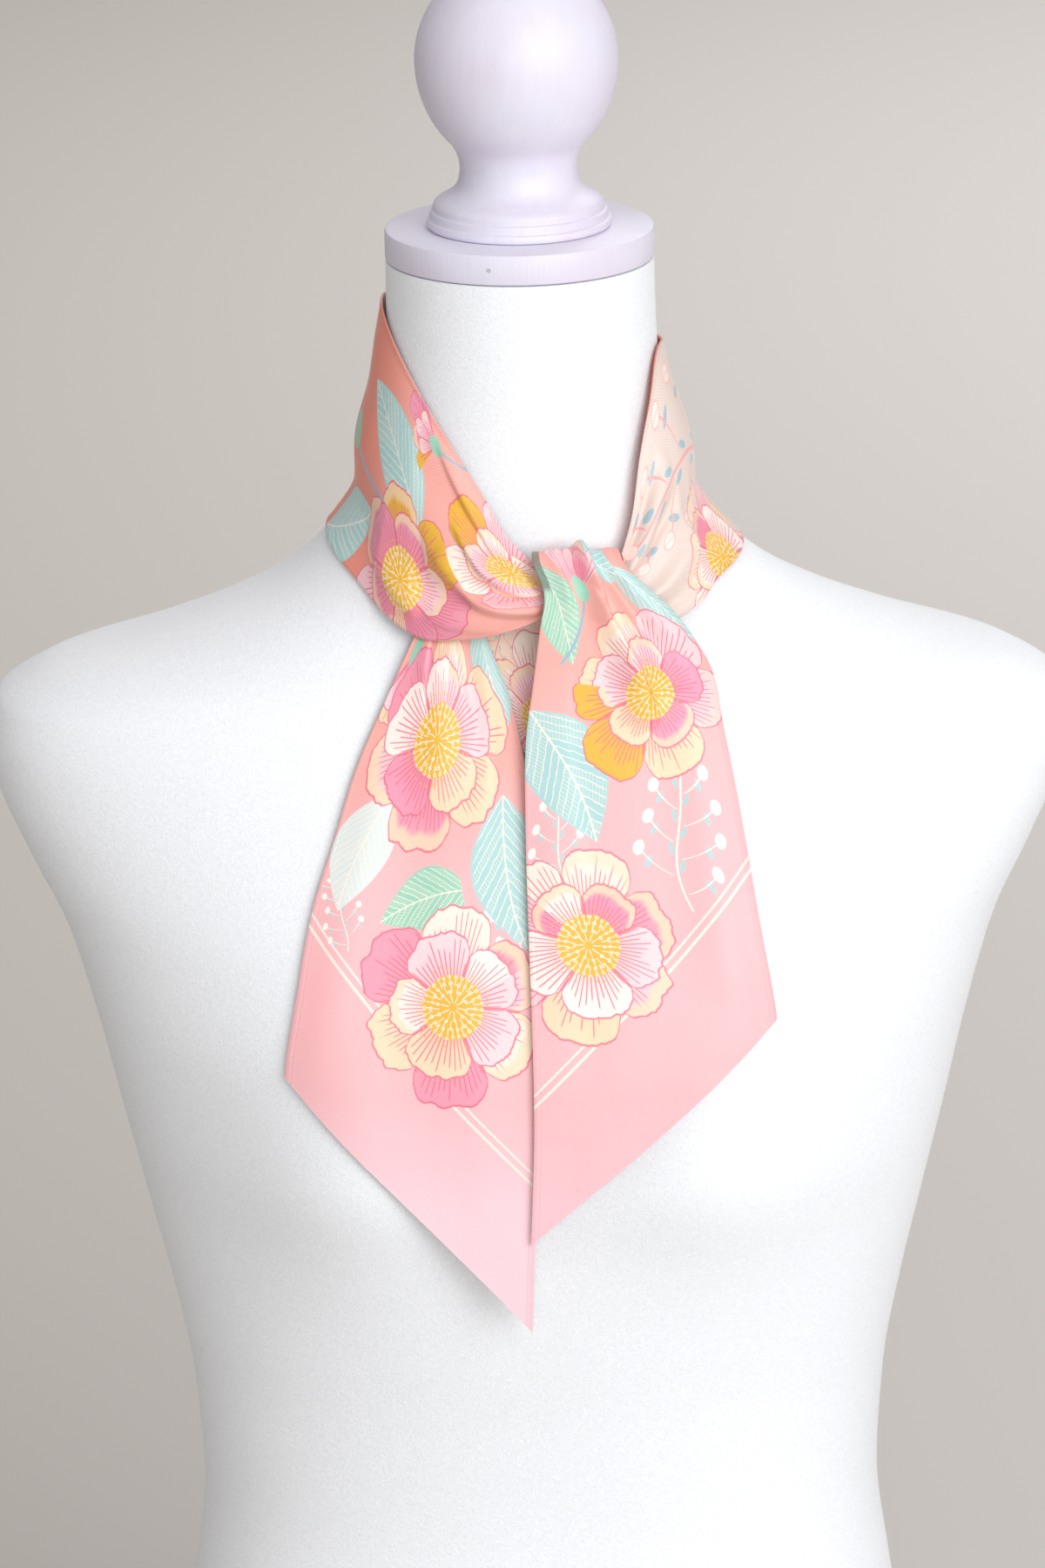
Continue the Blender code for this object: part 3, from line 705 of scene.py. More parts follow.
def nearest(cloth, places):
    """The place within the nearest of several motifs, in units of its size.

    Each motif has an across and an along in millimetres, a turn in degrees, a size in
    millimetres and a number that changes its petals and tint, kept in the third value.
    """
    best = None
    for across, along, turn, size, kind in places:
        inputs = {
            "Vector": cloth,
            "Location": (across / 1000, along / 1000, -kind * 0.02),
            "Rotation": (0.0, 0.0, math.radians(turn)),
            "Scale": (size / 1000, size / 1000, 1.0),
        }
        local = cloth.node("ShaderNodeMapping", {"vector_type": "TEXTURE"}, inputs)
        away = local.node("ShaderNodeVectorMath", {"operation": "LENGTH"}, {0: local}, 1)
        if best is None:
            best, best_away = local, away
            continue
        choice = {0: away.math("LESS_THAN", away, best_away), 4: best, 5: local}
        best = local.node("ShaderNodeMix", {"data_type": "VECTOR"}, choice, 1)
        best_away = away.both(best_away)
    return parts(best)


def parts(vector):
    """The x, y and z of a vector."""
    x = vector.node("ShaderNodeSeparateXYZ", None, {0: vector})
    split = x.socket.node
    return [Wire(x.tree, split.outputs[k]) for k in range(3)]


def vector_of(x, y, z=0.0):
    return x.node("ShaderNodeCombineXYZ", None, {0: x, 1: y, 2: z})


def chance(x, y):
    """A steady random number from 0 to 1 for each pair."""
    return x.node("ShaderNodeTexWhiteNoise", {"noise_dimensions": "2D"}, {"Vector": vector_of(x, y)})


def polar(x, y):
    """The distance from the middle, and the turn round it from -0.5 to 0.5."""
    return (x * x + y * y) ** 0.5, x.math("ARCTAN2", y, x) * (1.0 / math.tau)


def oval(x, y, narrow, low, lean=0.0):
    """How far out a place lies in an oval round the middle, which may lean."""
    square = x * x * narrow + y * y * low
    return (square + x * y * lean if lean else square) ** 0.5


def petals_over(colour, place, ring):
    """One ring of petals drawn over a colour, each veined and outlined.

    A ring has its number of petals, phase, reach, number of veins, tints and line width.
    """
    radius, turn, seed = place
    count, phase, reach, veins, tints, line = ring
    wander = vector_of(turn * 4.0, seed + phase).noise(1.0, 1.0) - 0.5
    around = turn * count + phase + wander * 0.3
    number = around.whole()
    aside = around - number
    own = chance(number, seed + phase)
    shoulder = 1.0 - (abs(aside) * 2.0) ** 4.0 * 0.26
    ruffle = vector_of(turn * 30.0, seed * 3.0).noise(1.0, 2.0) - 0.5
    edge = reach * shoulder * (0.84 + own * 0.22) + ruffle * reach * 0.17
    share = radius / edge
    petal = chance(number, seed * 2.0 + phase).ramp("CONSTANT", tints)
    fade = (1.0 - share).either(0.0)
    petal = petal.tinted(fade * fade * 0.8, DEEP_ROSE)
    rake = aside * veins
    rib = rake.off_whole()
    ends = chance(rake.whole(), number + seed)
    along_petal = share.below(0.70 + ends * 0.26, 0.03) * (1.0 - share.below(0.10 + ends * 0.30, 0.05))
    petal = petal.tinted(rib.below(0.085 / share, 0.05) * along_petal * 0.85, DEEP_ROSE)
    petal = petal.tinted((1.0 - share.below(0.84, 0.05)) * own.below(0.42, 0.02) * 0.8, PEACH)
    rim = (edge - radius).below(line, line * 0.35)
    cleft = ((0.5 - abs(aside)) * radius * (math.tau / count)).below(line * 0.7, line * 0.35)
    petal = petal.tinted(rim.either(cleft) * 0.9, DEEP_ROSE)
    return colour.tinted((radius - edge).below(0.0, 0.006), petal)


OUTER_PETALS = (
    (0.0, srgb(251, 206, 210)),
    (0.30, srgb(254, 236, 222)),
    (0.50, PEACH),
    (0.70, srgb(246, 160, 180)),
    (0.90, MUSTARD),
)
INNER_PETALS = (
    (0.0, srgb(252, 216, 220)),
    (0.36, srgb(254, 240, 232)),
    (0.62, srgb(246, 158, 182)),
    (0.88, PEACH),
)


def flowers_over(colour, cloth, places):
    """Open flowers: two rings of veined petals round a mustard centre with cream stamens."""
    x, y, seed = nearest(cloth, places)
    radius, turn = polar(x, y)
    place = (radius, turn, seed * 50.0)
    colour = petals_over(colour, place, (6.0, 0.0, 0.98, 15.0, OUTER_PETALS, 0.019))
    colour = petals_over(colour, place, (5.0, 0.37, 0.70, 13.0, INNER_PETALS, 0.018))
    heart = radius + vector_of(turn * 40.0, seed).noise(1.0, 1.0) * 0.06
    colour = colour.tinted(heart.below(0.33, 0.01), MUSTARD)
    sway = vector_of(x, y).noise(7.0, 1.0) - 0.5
    for count, inner, outer in ((29.0, 0.20, 0.27), (19.0, 0.13, 0.20), (10.0, 0.04, 0.12)):
        spoke = turn * count + sway * 0.9
        aside = spoke.off_whole() * radius * (math.tau / count)
        stalk = aside.below(0.0045, 0.002) * radius.below(outer, 0.004)
        stalk = stalk * (1.0 - radius.below(inner, 0.004))
        out = radius - outer - chance(spoke.whole(), count) * 0.03
        loop = abs(oval(aside, out, 1.0, 1.0) - 0.012).below(0.0045, 0.002)
        colour = colour.tinted(stalk.either(loop) * radius.below(0.305, 0.004) * 0.9, CREAM)
    spoke = turn * 34.0 + seed
    aside = spoke.off_whole() * radius * (math.tau / 34.0)
    out = radius - 0.335 - chance(spoke.whole(), seed) * 0.05
    return colour.tinted((aside * aside + out * out).below(0.00010, 0.00004), MUSTARD)


def buds_over(colour, cloth, places):
    """Half-open flowers from the side: a fan of long petals in a green cup on a stalk."""
    x, y, seed = nearest(cloth, places)
    radius, turn = polar(x, y)
    place = (radius, turn, seed * 50.0)
    tints = ((0.0, srgb(252, 216, 222)), (0.36, srgb(246, 162, 186)), (0.66, PEACH), (0.86, MUSTARD))
    stalk = abs(y + x * x * 0.30).below(0.030, 0.006) * x.below(0.0, 0.01) * (1.0 - x.below(-1.25, 0.02))
    colour = colour.tinted(stalk, STEM_BLUE)
    back = petals_over(colour, place, (9.0, 0.5, 0.98, 7.0, tints, 0.016))
    colour = colour.tinted(abs(turn).below(0.163, 0.002), back)
    front = petals_over(colour, place, (11.0, 0.0, 0.74, 7.0, tints, 0.016))
    colour = colour.tinted(abs(turn).below(0.130, 0.002), front)
    return colour.tinted(oval(x, y, 0.8, 1.3).below(0.20, 0.01), MINT)


def leaves_over(colour, cloth, places, strength=1.0):
    """Broad pointed leaves with a midrib and many slanting veins."""
    x, y, seed = nearest(cloth, places)
    bent = y - x * x * 0.16 + 0.06
    share = x * 0.5 + 0.5
    wide = share * (1.0 - share) * (2.75 - share * 0.95)
    inside = (abs(bent) - wide).below(0.0, 0.008) * share.below(1.0, 0.004)
    inside = inside * (1.0 - share.below(0.0, 0.004))
    tints = ((0.0, AQUA), (0.25, MINT), (0.45, MIST), (0.65, srgb(132, 200, 184)))
    tint = (seed * 5.0).ramp("CONSTANT", tints)
    wave = vector_of(share * 9.0, bent * 9.0).noise(1.0, 1.0) - 0.5
    rake = (share - abs(bent) * 0.60) * 13.0 + wave * 0.5
    veins = rake.off_whole().below(0.075, 0.04)
    fine = (abs(bent) * 30.0 + rake * 1.5).off_whole()
    hatched = 0.45 - chance(rake.math("FLOOR", rake), seed)
    hatch = fine.below(0.16, 0.08) * hatched.below(0.0, 0.01)
    midrib = abs(bent).below(0.014, 0.006)
    lines = midrib.either(veins).either(hatch * 0.45) * (abs(bent) - wide * 0.93).below(0.0, 0.02)
    tint = tint.tinted(lines * 0.85, CREAM)
    return colour.tinted(inside * strength, tint)


def sprigs_over(colour, cloth, places, stem, bud, leaf, strength=1.0):
    """Budding sprigs: a curved stem with side shoots that end in oval buds, and small leaves."""
    x, y, seed = nearest(cloth, places)
    bent = y - x * x * 0.22 - x.math("SINE", x * 4.0 + seed * 50.0) * 0.05
    side = bent.math("GREATER_THAN", bent, 0.0)
    apart = abs(bent)
    share = x * 2.6 + 2.6 + side * 0.5
    cell = share.math("FLOOR", share)
    within = share - cell
    own = chance(cell, side + seed * 50.0)
    reach = (0.42 - x * 0.16) * (0.72 + own * 0.5)
    curve = (within.either(0.0) + 0.02) ** 0.65 * reach * 1.25
    in_range = x.below(0.90, 0.004) * (1.0 - share.below(1.0, 0.004))
    shoot = abs(apart - curve).below(0.014, 0.005) * within.below(0.60, 0.01) * in_range
    middle = apart.below(0.014, 0.005) * x.below(0.88, 0.01) * (1.0 - x.below(-1.0, 0.01))
    bud_y = apart - reach * 0.98
    away = oval((within - 0.68) * 0.385, bud_y, 0.8, 1.3)
    globe = (away + (1.0 - in_range)).both(oval(x - 0.95, bent, 0.8, 1.3))
    leafy = oval((within - 0.30) * 0.385, apart - reach * 0.70, 1.5, 5.0, 3.0)
    nearby = oval((within - 0.80) * 0.385, apart - 0.070, 1.5, 6.0, -3.2)
    small = leafy.both(nearby).below(0.072, 0.008) * in_range
    colour = colour.tinted(small * strength, leaf)
    colour = colour.tinted(shoot.either(middle) * strength, stem)
    colour = colour.tinted(globe.below(0.080, 0.006) * strength, bud)
    parting = abs(bud_y).below(0.006, 0.004) * globe.below(0.07, 0.01) * 0.6
    seam = abs(globe - 0.074).below(0.007, 0.004).either(parting)
    return colour.tinted(seam * strength * 0.8, stem)


def border_over(colour, across, along, corner):
    """Two fine cream lines across the cloth, parallel to its slanted end."""
    inset = along + across - (corner + SCARF_WIDTH)
    first = abs(inset + BORDER_INSET).below(0.0008, 0.0003)
    second = abs(inset + BORDER_INSET + BORDER_APART).below(0.0006, 0.0003)
    return colour.tinted(first.either(second) * 0.85, CREAM)


def silk_finish(name, draw, ground):
    """Silk twill. Its ground is a ramp of colours along the cloth, as (along, colour) stops;
    draw(colour, cloth, across, along) prints on it."""
    finish, shader, _ = new_finish(name, 0.38)
    tree = finish.node_tree
    placed = tree.nodes.new("ShaderNodeUVMap")
    placed.uv_map = "cloth"
    cloth = Wire(tree, placed.outputs[0])
    across, along, _ = parts(cloth)
    stops = [(place / GROUND_REACH, colour) for place, colour in ground]
    colour = (along * (1.0 / GROUND_REACH)).ramp("EASE", stops)
    colour = draw(colour, cloth, across, along)
    rib = ((across * RIB_SLANT + along) * (1.0 / RIB_PITCH)).off_whole() * 2.0
    thread = vector_of(across * THREADS, along * THREADS).noise(1.0, 2.0)
    edge = across.both(SCARF_WIDTH - across)
    hem = edge.below(0.0016, 0.0005) * 0.10 + abs(edge - HEM_STITCH).below(0.0003, 0.0002) * 0.10
    plug(colour.shaded(1.065 - rib * 0.11 - hem - thread * 0.06), shader, "Base Color")
    plug(bumped(rib * 0.5 + thread * 0.6, 0.25, 0.0003), shader, "Normal")
    shader.inputs["Sheen Weight"].default_value = 0.14
    shader.inputs["Sheen Roughness"].default_value = 0.35
    shader.inputs["Specular IOR Level"].default_value = 0.36
    return finish


# Loop round the neck: from the knot over the viewer's left, a half turn at the nape, and back
# over the viewer's right, where the cream reverse shows. It is gathered into the knot.
# along, then angle, height and distance off the form at the long edge and the short edge, belly
LOOP_START = -0.008
LOOP_END = 0.440
LOOP_SIDES = (
    (LOOP_START, -8.3, 0.6345, 0.0165, -8.5, 0.6480, 0.0130, 0.0010),
    (0.000, -2.6, 0.6305, 0.0165, -3.6, 0.6505, 0.0115, 0.0025),
    (0.014, 8.0, 0.6255, 0.0155, 5.5, 0.6600, 0.0085, 0.0050),
    (0.030, 18.0, 0.6225, 0.0120, 14.0, 0.6735, 0.0050, 0.0060),
    (0.050, 29.5, 0.6215, 0.0075, 27.5, 0.6920, 0.0030, 0.0040),
    (0.075, 42.5, 0.6285, 0.0040, 45.0, 0.7115, 0.0022, 0.0015),
    (0.100, 57.0, 0.6385, 0.0030, 64.0, 0.7280, 0.0018, -0.0010),
    (0.125, 74.0, 0.6458, 0.0028, 84.0, 0.7390, 0.0018, -0.0020),
    (0.150, 90.0, 0.6492, 0.0028, 104.0, 0.7400, 0.0018, -0.0020),
    (0.175, 106.0, 0.6495, 0.0028, 121.0, 0.7320, 0.0020, -0.0010),
    (0.315, 241.0, 0.7180, 0.0025, 250.0, 0.6460, 0.0028, 0.0015),
    (0.340, 264.0, 0.7215, 0.0018, 267.0, 0.6418, 0.0028, 0.0030),
    (0.365, 288.0, 0.7220, 0.0022, 284.0, 0.6388, 0.0028, 0.0020),
    (0.388, 303.5, 0.7035, 0.0045, 298.0, 0.6350, 0.0033, -0.0010),
    (0.408, 314.0, 0.6850, 0.0060, 308.0, 0.6290, 0.0045, -0.0030),
    (0.426, 322.5, 0.6640, 0.0078, 316.0, 0.6255, 0.0058, -0.0025),
    (0.440, 328.5, 0.6515, 0.0088, 323.0, 0.6240, 0.0060, -0.0020),
)
# along, angle, height and distance off the form at the middle, width, turn
LOOP_TWIST = (
    (0.200, 136.0, 0.6880, 0.0115, 0.066, 19.0),
    (0.222, 155.0, 0.6865, 0.0150, 0.044, 52.0),
    (0.245, 177.0, 0.6850, 0.0165, 0.030, 92.0),
    (0.268, 199.0, 0.6835, 0.0150, 0.040, 132.0),
    (0.291, 220.0, 0.6825, 0.0115, 0.060, 161.0),
)
# along and across at one end and the other, width, height; the pink side is up
LOOP_FOLDS = (
    (0.000, 0.66, 0.056, 0.39, 0.0115, 0.0034),
    (0.000, 0.45, 0.060, 0.22, 0.0095, -0.0034),
    (-0.004, 0.20, 0.085, 0.08, 0.0140, 0.0032),
    (0.010, 0.88, 0.070, 0.68, 0.0120, -0.0014),
    (0.085, 0.21, 0.190, 0.19, 0.0160, -0.0060),
    (0.110, 0.62, 0.190, 0.66, 0.0140, -0.0012),
    (0.190, 0.26, 0.300, 0.24, 0.0110, 0.0026),
    (0.185, 0.50, 0.305, 0.50, 0.0110, -0.0030),
    (0.190, 0.74, 0.300, 0.76, 0.0110, 0.0026),
    (0.290, 0.74, 0.395, 0.73, 0.0180, 0.0075),
    (0.380, 0.60, 0.446, 0.46, 0.0120, 0.0022),
    (0.390, 0.34, 0.446, 0.24, 0.0120, -0.0016),
    # narrow gathers at the nape and where the loop goes into the knot
    (0.184, 0.12, 0.300, 0.12, 0.0064, -0.0030),
    (0.190, 0.38, 0.302, 0.37, 0.0064, 0.0034),
    (0.192, 0.63, 0.306, 0.62, 0.0064, 0.0034),
    (0.186, 0.88, 0.298, 0.88, 0.0064, -0.0030),
    (0.384, 0.90, 0.450, 0.84, 0.0070, 0.0026),
    (0.386, 0.72, 0.450, 0.66, 0.0070, -0.0026),
    (0.392, 0.44, 0.450, 0.34, 0.0060, 0.0024),
    (0.396, 0.20, 0.450, 0.12, 0.0060, 0.0024),
)
# Creases have the same columns. They fall steeply towards the long edge, or towards the short
# edge where they run back.
LOOP_CREASES = (
    (-0.004, 0.08, 0.050, 0.46, 0.0100, 0.0056),
    (-0.002, 0.36, 0.044, 0.68, 0.0080, 0.0034),
    (0.002, 0.66, 0.060, 0.93, 0.0085, 0.0022),
    (0.052, 0.10, 0.104, 0.20, 0.0110, 0.0016),
    (0.010, 0.02, 0.050, 0.12, 0.0080, 0.0012),
    (0.446, 0.30, 0.392, 0.50, 0.0090, 0.0022),
    (0.446, 0.10, 0.404, 0.22, 0.0080, 0.0014),
)


def draw_loop(colour, cloth, across, along):
    colour = sprigs_over(colour, cloth, ((66, 196, 100, 36, 2),), CREAM, CREAM, AQUA)
    leaves = ((62, 84, 62, 30, 1), (12, 122, -60, 26, 2), (80, 176, 70, 24, 3), (20, 204, 80, 30, 1))
    colour = leaves_over(colour, cloth, leaves)
    colour = buds_over(colour, cloth, ((46, 128, 62, 36, 4), (86, 60, 100, 20, 7)))
    return flowers_over(colour, cloth, ((20, 66, 20, 43, 5), (62, 10, 70, 40, 2), (50, 238, 0, 38, 8)))


def draw_loop_reverse(colour, cloth, across, along):
    pale_rose = srgb(248, 178, 178)
    pale_blue = srgb(166, 198, 210)
    places = ((40, 382, 106, 60, 1), (46, 300, 95, 38, 8))
    colour = sprigs_over(colour, cloth, places, pale_rose, srgb(253, 232, 222), pale_blue, 0.95)
    colour = leaves_over(colour, cloth, ((16, 330, 80, 26, 3),), 0.35)
    return flowers_over(colour, cloth, ((90, 376, 60, 40, 4),))


# Painted shade: the loop's ground deepens from salmon to coral away from the knot, on the side that
# faces away from the light.
loop_print = silk_finish("silk_print_loop", draw_loop, ((0.06, SALMON), (0.125, PAINTED_SHADE_CORAL)))
reverse_ground = ((0.0, PALE_REVERSE), (0.5, PALE_REVERSE))
reverse_print = silk_finish("silk_reverse_loop", draw_loop_reverse, reverse_ground)
rows = neck_rows(LOOP_SIDES, LOOP_TWIST)
flat = flat_grid(LOOP_START, LOOP_END, LOOP_END, 320, 86)
points = silk_points(rows, from_axis, LOOP_FOLDS, LOOP_CREASES, flat, -1.0)
loop = silk_shell("silk_loop", points, flat, -1.0, (loop_print, reverse_print))
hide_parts("scarf_left_stretch", "scarf_nape_twist", "scarf_right_stretch")


# Front tail: comes up out of the knot, rolls forward over it and hangs down the chest with a
# pleat that opens downwards; its long edge is on the viewer's left.
# along, then x, height and distance off the chest at the long edge and the short edge, belly
FRONT_TAIL_ROWS = (
    (0.000, 0.0060, 0.6480, 0.0050, 0.0320, 0.6470, 0.0040, 0.0010),
    (0.008, 0.0045, 0.6535, 0.0090, 0.0340, 0.6520, 0.0070, 0.0010),
    (0.014, 0.0028, 0.6562, 0.0150, 0.0360, 0.6540, 0.0130, 0.0015),
    (0.021, 0.0030, 0.6540, 0.0210, 0.0380, 0.6500, 0.0180, 0.0020),
    (0.036, 0.0072, 0.6425, 0.0240, 0.0463, 0.6410, 0.0190, 0.0025),
    (0.052, 0.0053, 0.6296, 0.0240, 0.0580, 0.6290, 0.0165, 0.0025),
    (0.075, 0.0026, 0.6100, 0.0190, 0.0715, 0.6090, 0.0105, 0.0030),
    (0.102, -0.0009, 0.5856, 0.0138, 0.0760, 0.5880, 0.0078, 0.0028),
    (0.135, -0.0016, 0.5580, 0.0092, 0.0820, 0.5565, 0.0058, 0.0024),
    (0.175, -0.0013, 0.5205, 0.0064, 0.0885, 0.5170, 0.0046, 0.0015),
    (0.218, -0.0005, 0.4820, 0.0052, 0.0952, 0.4765, 0.0040, 0.0010),
    (0.262, -0.0003, 0.4380, 0.0050, 0.0975, 0.4360, 0.0038, 0.0005),
    (0.313, -0.0023, 0.3898, 0.0054, 0.0980, 0.3900, 0.0040, 0.0000),
)
FRONT_LENGTH = FRONT_TAIL_ROWS[-1][0]
FRONT_CORNER = 0.218
FRONT_TAIL_FOLDS = (
    (0.006, 0.55, 0.082, 0.58, 0.0095, 0.0032),
    (0.010, 0.70, 0.086, 0.75, 0.0090, -0.0032),
    (0.010, 0.90, 0.066, 0.93, 0.0090, 0.0018),
    (0.080, 0.30, 0.180, 0.36, 0.0160, -0.0008),
    # shallow ripples down the part that hangs
    (0.096, 0.82, 0.236, 0.84, 0.0090, 0.0013),
    (0.104, 0.66, 0.216, 0.60, 0.0130, -0.0013),
    (0.120, 0.12, 0.270, 0.10, 0.0100, 0.0009),
    (0.190, 0.46, 0.292, 0.20, 0.0130, 0.0009),
)
# These creases run back, so they fall steeply towards the short edge.
FRONT_TAIL_CREASES = (
    (0.052, 0.455, 0.010, 0.60, 0.0090, 0.0036),
    (0.100, 0.660, 0.034, 0.440, 0.0100, 0.0050),
    (0.060, 0.840, 0.012, 0.800, 0.0080, 0.0022),
    (0.048, 0.220, 0.010, 0.260, 0.0080, 0.0016),
    (0.170, 0.240, 0.070, 0.180, 0.0140, 0.0010),
)


def draw_front_tail(colour, cloth, across, along):
    colour = border_over(colour, across, along, FRONT_CORNER)
    places = ((66, 139, -82, 34, 1), (14, 150, -100, 24, 6))
    colour = sprigs_over(colour, cloth, places, CREAM, BUD_WHITE, AQUA)
    leaves = ((18, 116, 62, 33, 1), (86, 44, 70, 24, 2), (60, 18, 30, 24, 2), (12, 44, 65, 26, 3))
    colour = leaves_over(colour, cloth, leaves)
    colour = buds_over(colour, cloth, ((34, 34, -80, 30, 3),))
    colour = flowers_over(colour, cloth, ((60, 84, 10, 42, 3), (24, 188, 40, 43, 6)))
    # Painted shade: a dark grey-green band along the long edge where the tail rolls over the knot.
    lapped_painted_shade = across.below(0.0075, 0.0008) * along.below(0.034, 0.002)
    return colour.tinted(lapped_painted_shade * 0.85, srgb(112, 128, 112))


# Painted light: the ground pales from salmon to pink down the tail, where more light falls.
front_ground_painted_light = ((0.05, SALMON), (0.14, SOFT_PINK), (0.23, SOFT_PINK), (0.30, srgb(252, 200, 207)))
front_print = silk_finish("silk_print_front_tail", draw_front_tail, front_ground_painted_light)
plain_reverse = silk_finish("silk_reverse", lambda colour, *places: colour, reverse_ground)
flat = flat_grid(0.0, FRONT_LENGTH, FRONT_CORNER, 240, 86)
points = silk_points(FRONT_TAIL_ROWS, on_chest, FRONT_TAIL_FOLDS, FRONT_TAIL_CREASES, flat, 1.0)
front_tail = silk_shell("silk_front_tail", points, flat, 1.0, (front_print, plain_reverse))
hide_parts("scarf_front_tail")


# Rear tail: leaves the knot behind the loop and hangs beside the front tail, a little lower;
# its long edge is on the viewer's right.
# along, then x, height and distance off the chest at the long edge and the short edge, belly
REAR_TAIL_ROWS = (
    (0.000, -0.0165, 0.6330, 0.0061, -0.0370, 0.6330, 0.0051, 0.0005),
    (0.012, -0.0155, 0.6220, 0.0065, -0.0441, 0.6205, 0.0055, 0.0015),
    (0.033, -0.0075, 0.6010, 0.0055, -0.0547, 0.5997, 0.0040, 0.0025),
    (0.060, -0.0012, 0.5740, 0.0048, -0.0670, 0.5742, 0.0032, 0.0025),
    (0.088, 0.0020, 0.5450, 0.0034, -0.0760, 0.5480, 0.0030, 0.0020),
    (0.118, 0.0025, 0.5130, 0.0026, -0.0858, 0.5190, 0.0028, 0.0012),
    (0.152, 0.0025, 0.4780, 0.0022, -0.0925, 0.4862, 0.0026, 0.0006),
    (0.182, 0.0020, 0.4470, 0.0022, -0.0976, 0.4566, 0.0026, 0.0004),
    (0.225, 0.0002, 0.4040, 0.0024, -0.0995, 0.4140, 0.0026, 0.0002),
    (0.277, -0.0022, 0.3520, 0.0030, -0.1000, 0.3630, 0.0026, 0.0000),
)
REAR_LENGTH = REAR_TAIL_ROWS[-1][0]
REAR_CORNER = 0.182
REAR_TAIL_FOLDS = (
    (0.004, 0.60, 0.080, 0.47, 0.0115, 0.0018),
    (0.008, 0.30, 0.068, 0.25, 0.0100, -0.0014),
    # shallow ripples down the part that hangs
    (0.050, 0.84, 0.186, 0.86, 0.0090, 0.0012),
    (0.070, 0.62, 0.200, 0.56, 0.0130, -0.0012),
    (0.120, 0.34, 0.250, 0.16, 0.0120, 0.0010),
)
REAR_TAIL_CREASES = (
    (0.000, 0.46, 0.052, 0.30, 0.0080, 0.0012),
    (0.000, 0.80, 0.046, 0.66, 0.0080, 0.0010),
    (0.020, 0.16, 0.100, 0.30, 0.0120, 0.0007),
)


def draw_rear_tail(colour, cloth, across, along):
    colour = border_over(colour, across, along, REAR_CORNER)
    places = ((82, 116, -62, 15, 2), (8, 128, -80, 26, 4))
    colour = sprigs_over(colour, cloth, places, CREAM, BUD_WHITE, AQUA)
    leaves = ((12, 98, 100, 28, 2), (80, 92, 74, 24, 5), (8, 24, 80, 26, 1), (48, 110, 20, 20, 3))
    colour = leaves_over(colour, cloth, leaves)
    colour = buds_over(colour, cloth, ((84, 16, 100, 30, 2),))
    return flowers_over(colour, cloth, ((51, 50, 80, 47, 9), (34, 148, 30, 40, 12)))


# Painted light: the ground pales from salmon to pink down the tail, where more light falls.
rear_ground_painted_light = ((0.04, SALMON), (0.12, SOFT_PINK), (0.165, SOFT_PINK), (0.24, PALE_PINK))
rear_print = silk_finish("silk_print_rear_tail", draw_rear_tail, rear_ground_painted_light)
flat = flat_grid(0.0, REAR_LENGTH, REAR_CORNER, 200, 70)
points = silk_points(REAR_TAIL_ROWS, on_chest, REAR_TAIL_FOLDS, REAR_TAIL_CREASES, flat, -1.0)
rear_tail = silk_shell("silk_rear_tail", points, flat, -1.0, (rear_print, plain_reverse))
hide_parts("scarf_rear_tail")


# Turned edge: the rear tail's long edge folds over beside the knot, so a strip of the cream
# reverse shows between the two tails.
TURNED_WIDTH = 0.025
TURNED_EDGE_ROWS = (
    (0.000, 0.0060, 0.6330, 0.0030, -0.0190, 0.6330, 0.0024, 0.0002),
    (0.012, 0.0060, 0.6215, 0.0028, -0.0190, 0.6220, 0.0026, 0.0002),
    (0.033, 0.0062, 0.6000, 0.0028, -0.0120, 0.6010, 0.0026, 0.0002),
    (0.055, 0.0064, 0.5780, 0.0026, -0.0055, 0.5790, 0.0024, 0.0001),
)
TURNED_LENGTH = TURNED_EDGE_ROWS[-1][0]


def draw_turned_edge(colour, cloth, across, along):
    colour = sprigs_over(colour, cloth, ((17, 12, 60, 16, 1),), srgb(244, 150, 150), CREAM, AQUA)
    return flowers_over(colour, cloth, ((4, 44, 20, 34, 7),))


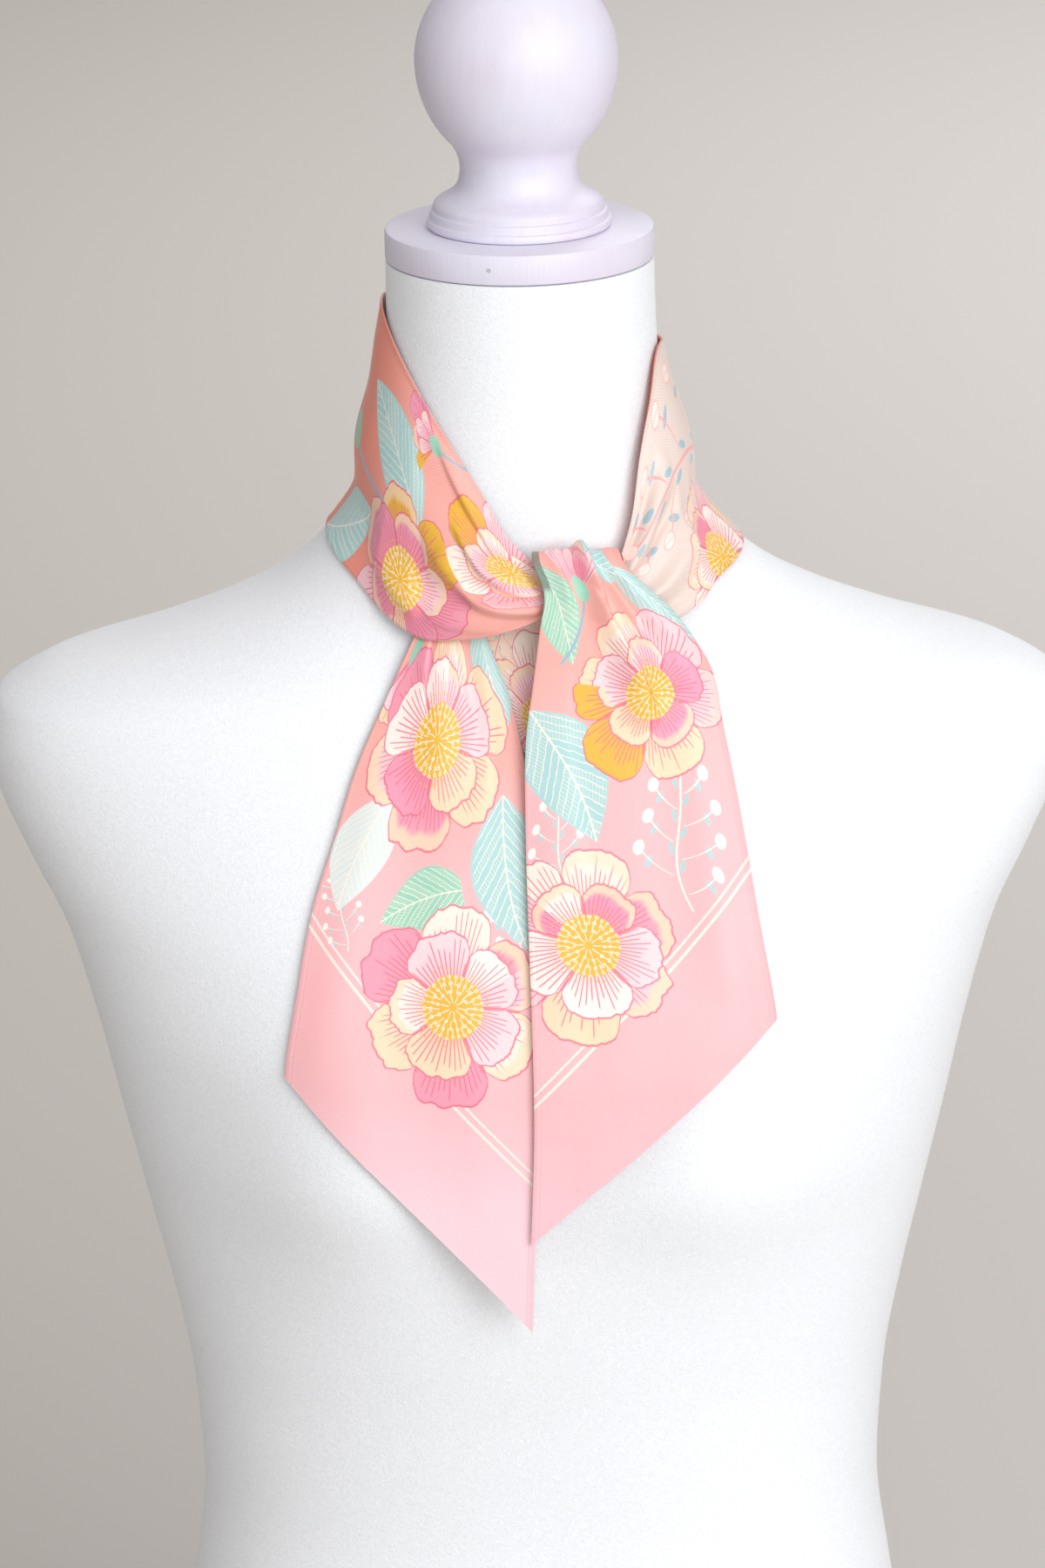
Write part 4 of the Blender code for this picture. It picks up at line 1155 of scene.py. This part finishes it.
# Painted light: this strip of reverse has a lighter, warmer ground than the reverse elsewhere, against
# the front tail's shadow on it.
turned_ground_painted_light = ((0.0, srgb(254, 222, 204)), (0.055, PEACH))
turned_print = silk_finish("silk_turned_edge_print", draw_turned_edge, turned_ground_painted_light)
flat = flat_grid(0.0, TURNED_LENGTH, TURNED_LENGTH, 40, 20)
points = silk_points(TURNED_EDGE_ROWS, on_chest, (), (), flat, -1.0)
flat = (flat[0], flat[1] * TURNED_WIDTH / SCARF_WIDTH)
turned_edge = silk_shell("silk_turned_edge", points, flat, -1.0, (turned_print, plain_reverse))
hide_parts("scarf_turned_edge")


# Knot: the wraps of the half-knot, hidden under the roll of the front tail, as one rounded
# lump of gathered silk with shallow grooves.
KNOT_CENTRE = (0.0240, 0.6370, 0.0125)
KNOT_HALF_SIZE = (0.0128, 0.0147, 0.0062)
KNOT_POWER = 2.0 / 3.2
KNOT_WRAPS = 3
KNOT_WRAP_DEPTH = 0.0006
KNOT_LEVELS = 41
KNOT_SIDES = 72

rise = np.radians(np.linspace(-84.0, 84.0, KNOT_LEVELS))[:, None]
turn = 2.0 * np.pi * np.arange(KNOT_SIDES) / KNOT_SIDES
groove = KNOT_WRAP_DEPTH * (0.5 - 0.5 * np.cos(KNOT_WRAPS * (2.0 * rise + turn)))
across = signed_power(np.cos(turn) * np.cos(rise), KNOT_POWER) * (KNOT_HALF_SIZE[0] - groove)
upwards = signed_power(np.sin(rise), KNOT_POWER) * (KNOT_HALF_SIZE[1] - groove)
outwards = -signed_power(np.sin(turn) * np.cos(rise), KNOT_POWER) * (KNOT_HALF_SIZE[2] - groove)
rings = on_chest(KNOT_CENTRE[0] + across, KNOT_CENTRE[1] + upwards, KNOT_CENTRE[2] + outwards)
knot = lofted("silk_knot", rings)
knot_silk, shader, here = new_finish("silk_knot_wraps", 0.42)
# Painted shade and highlight: the colour follows the wrinkle height, deeper salmon in the hollows and
# pale blush on the ridges.
wrinkles_and_painted_shade = here.noise(260.0, 3.0)
plug(wrinkles_and_painted_shade.blend(SALMON, BLUSH), shader, "Base Color")
plug(bumped(wrinkles_and_painted_shade, 0.3, 0.0005), shader, "Normal")
knot.data.materials.append(knot_silk)
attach(knot, "root")
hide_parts("scarf_knot")
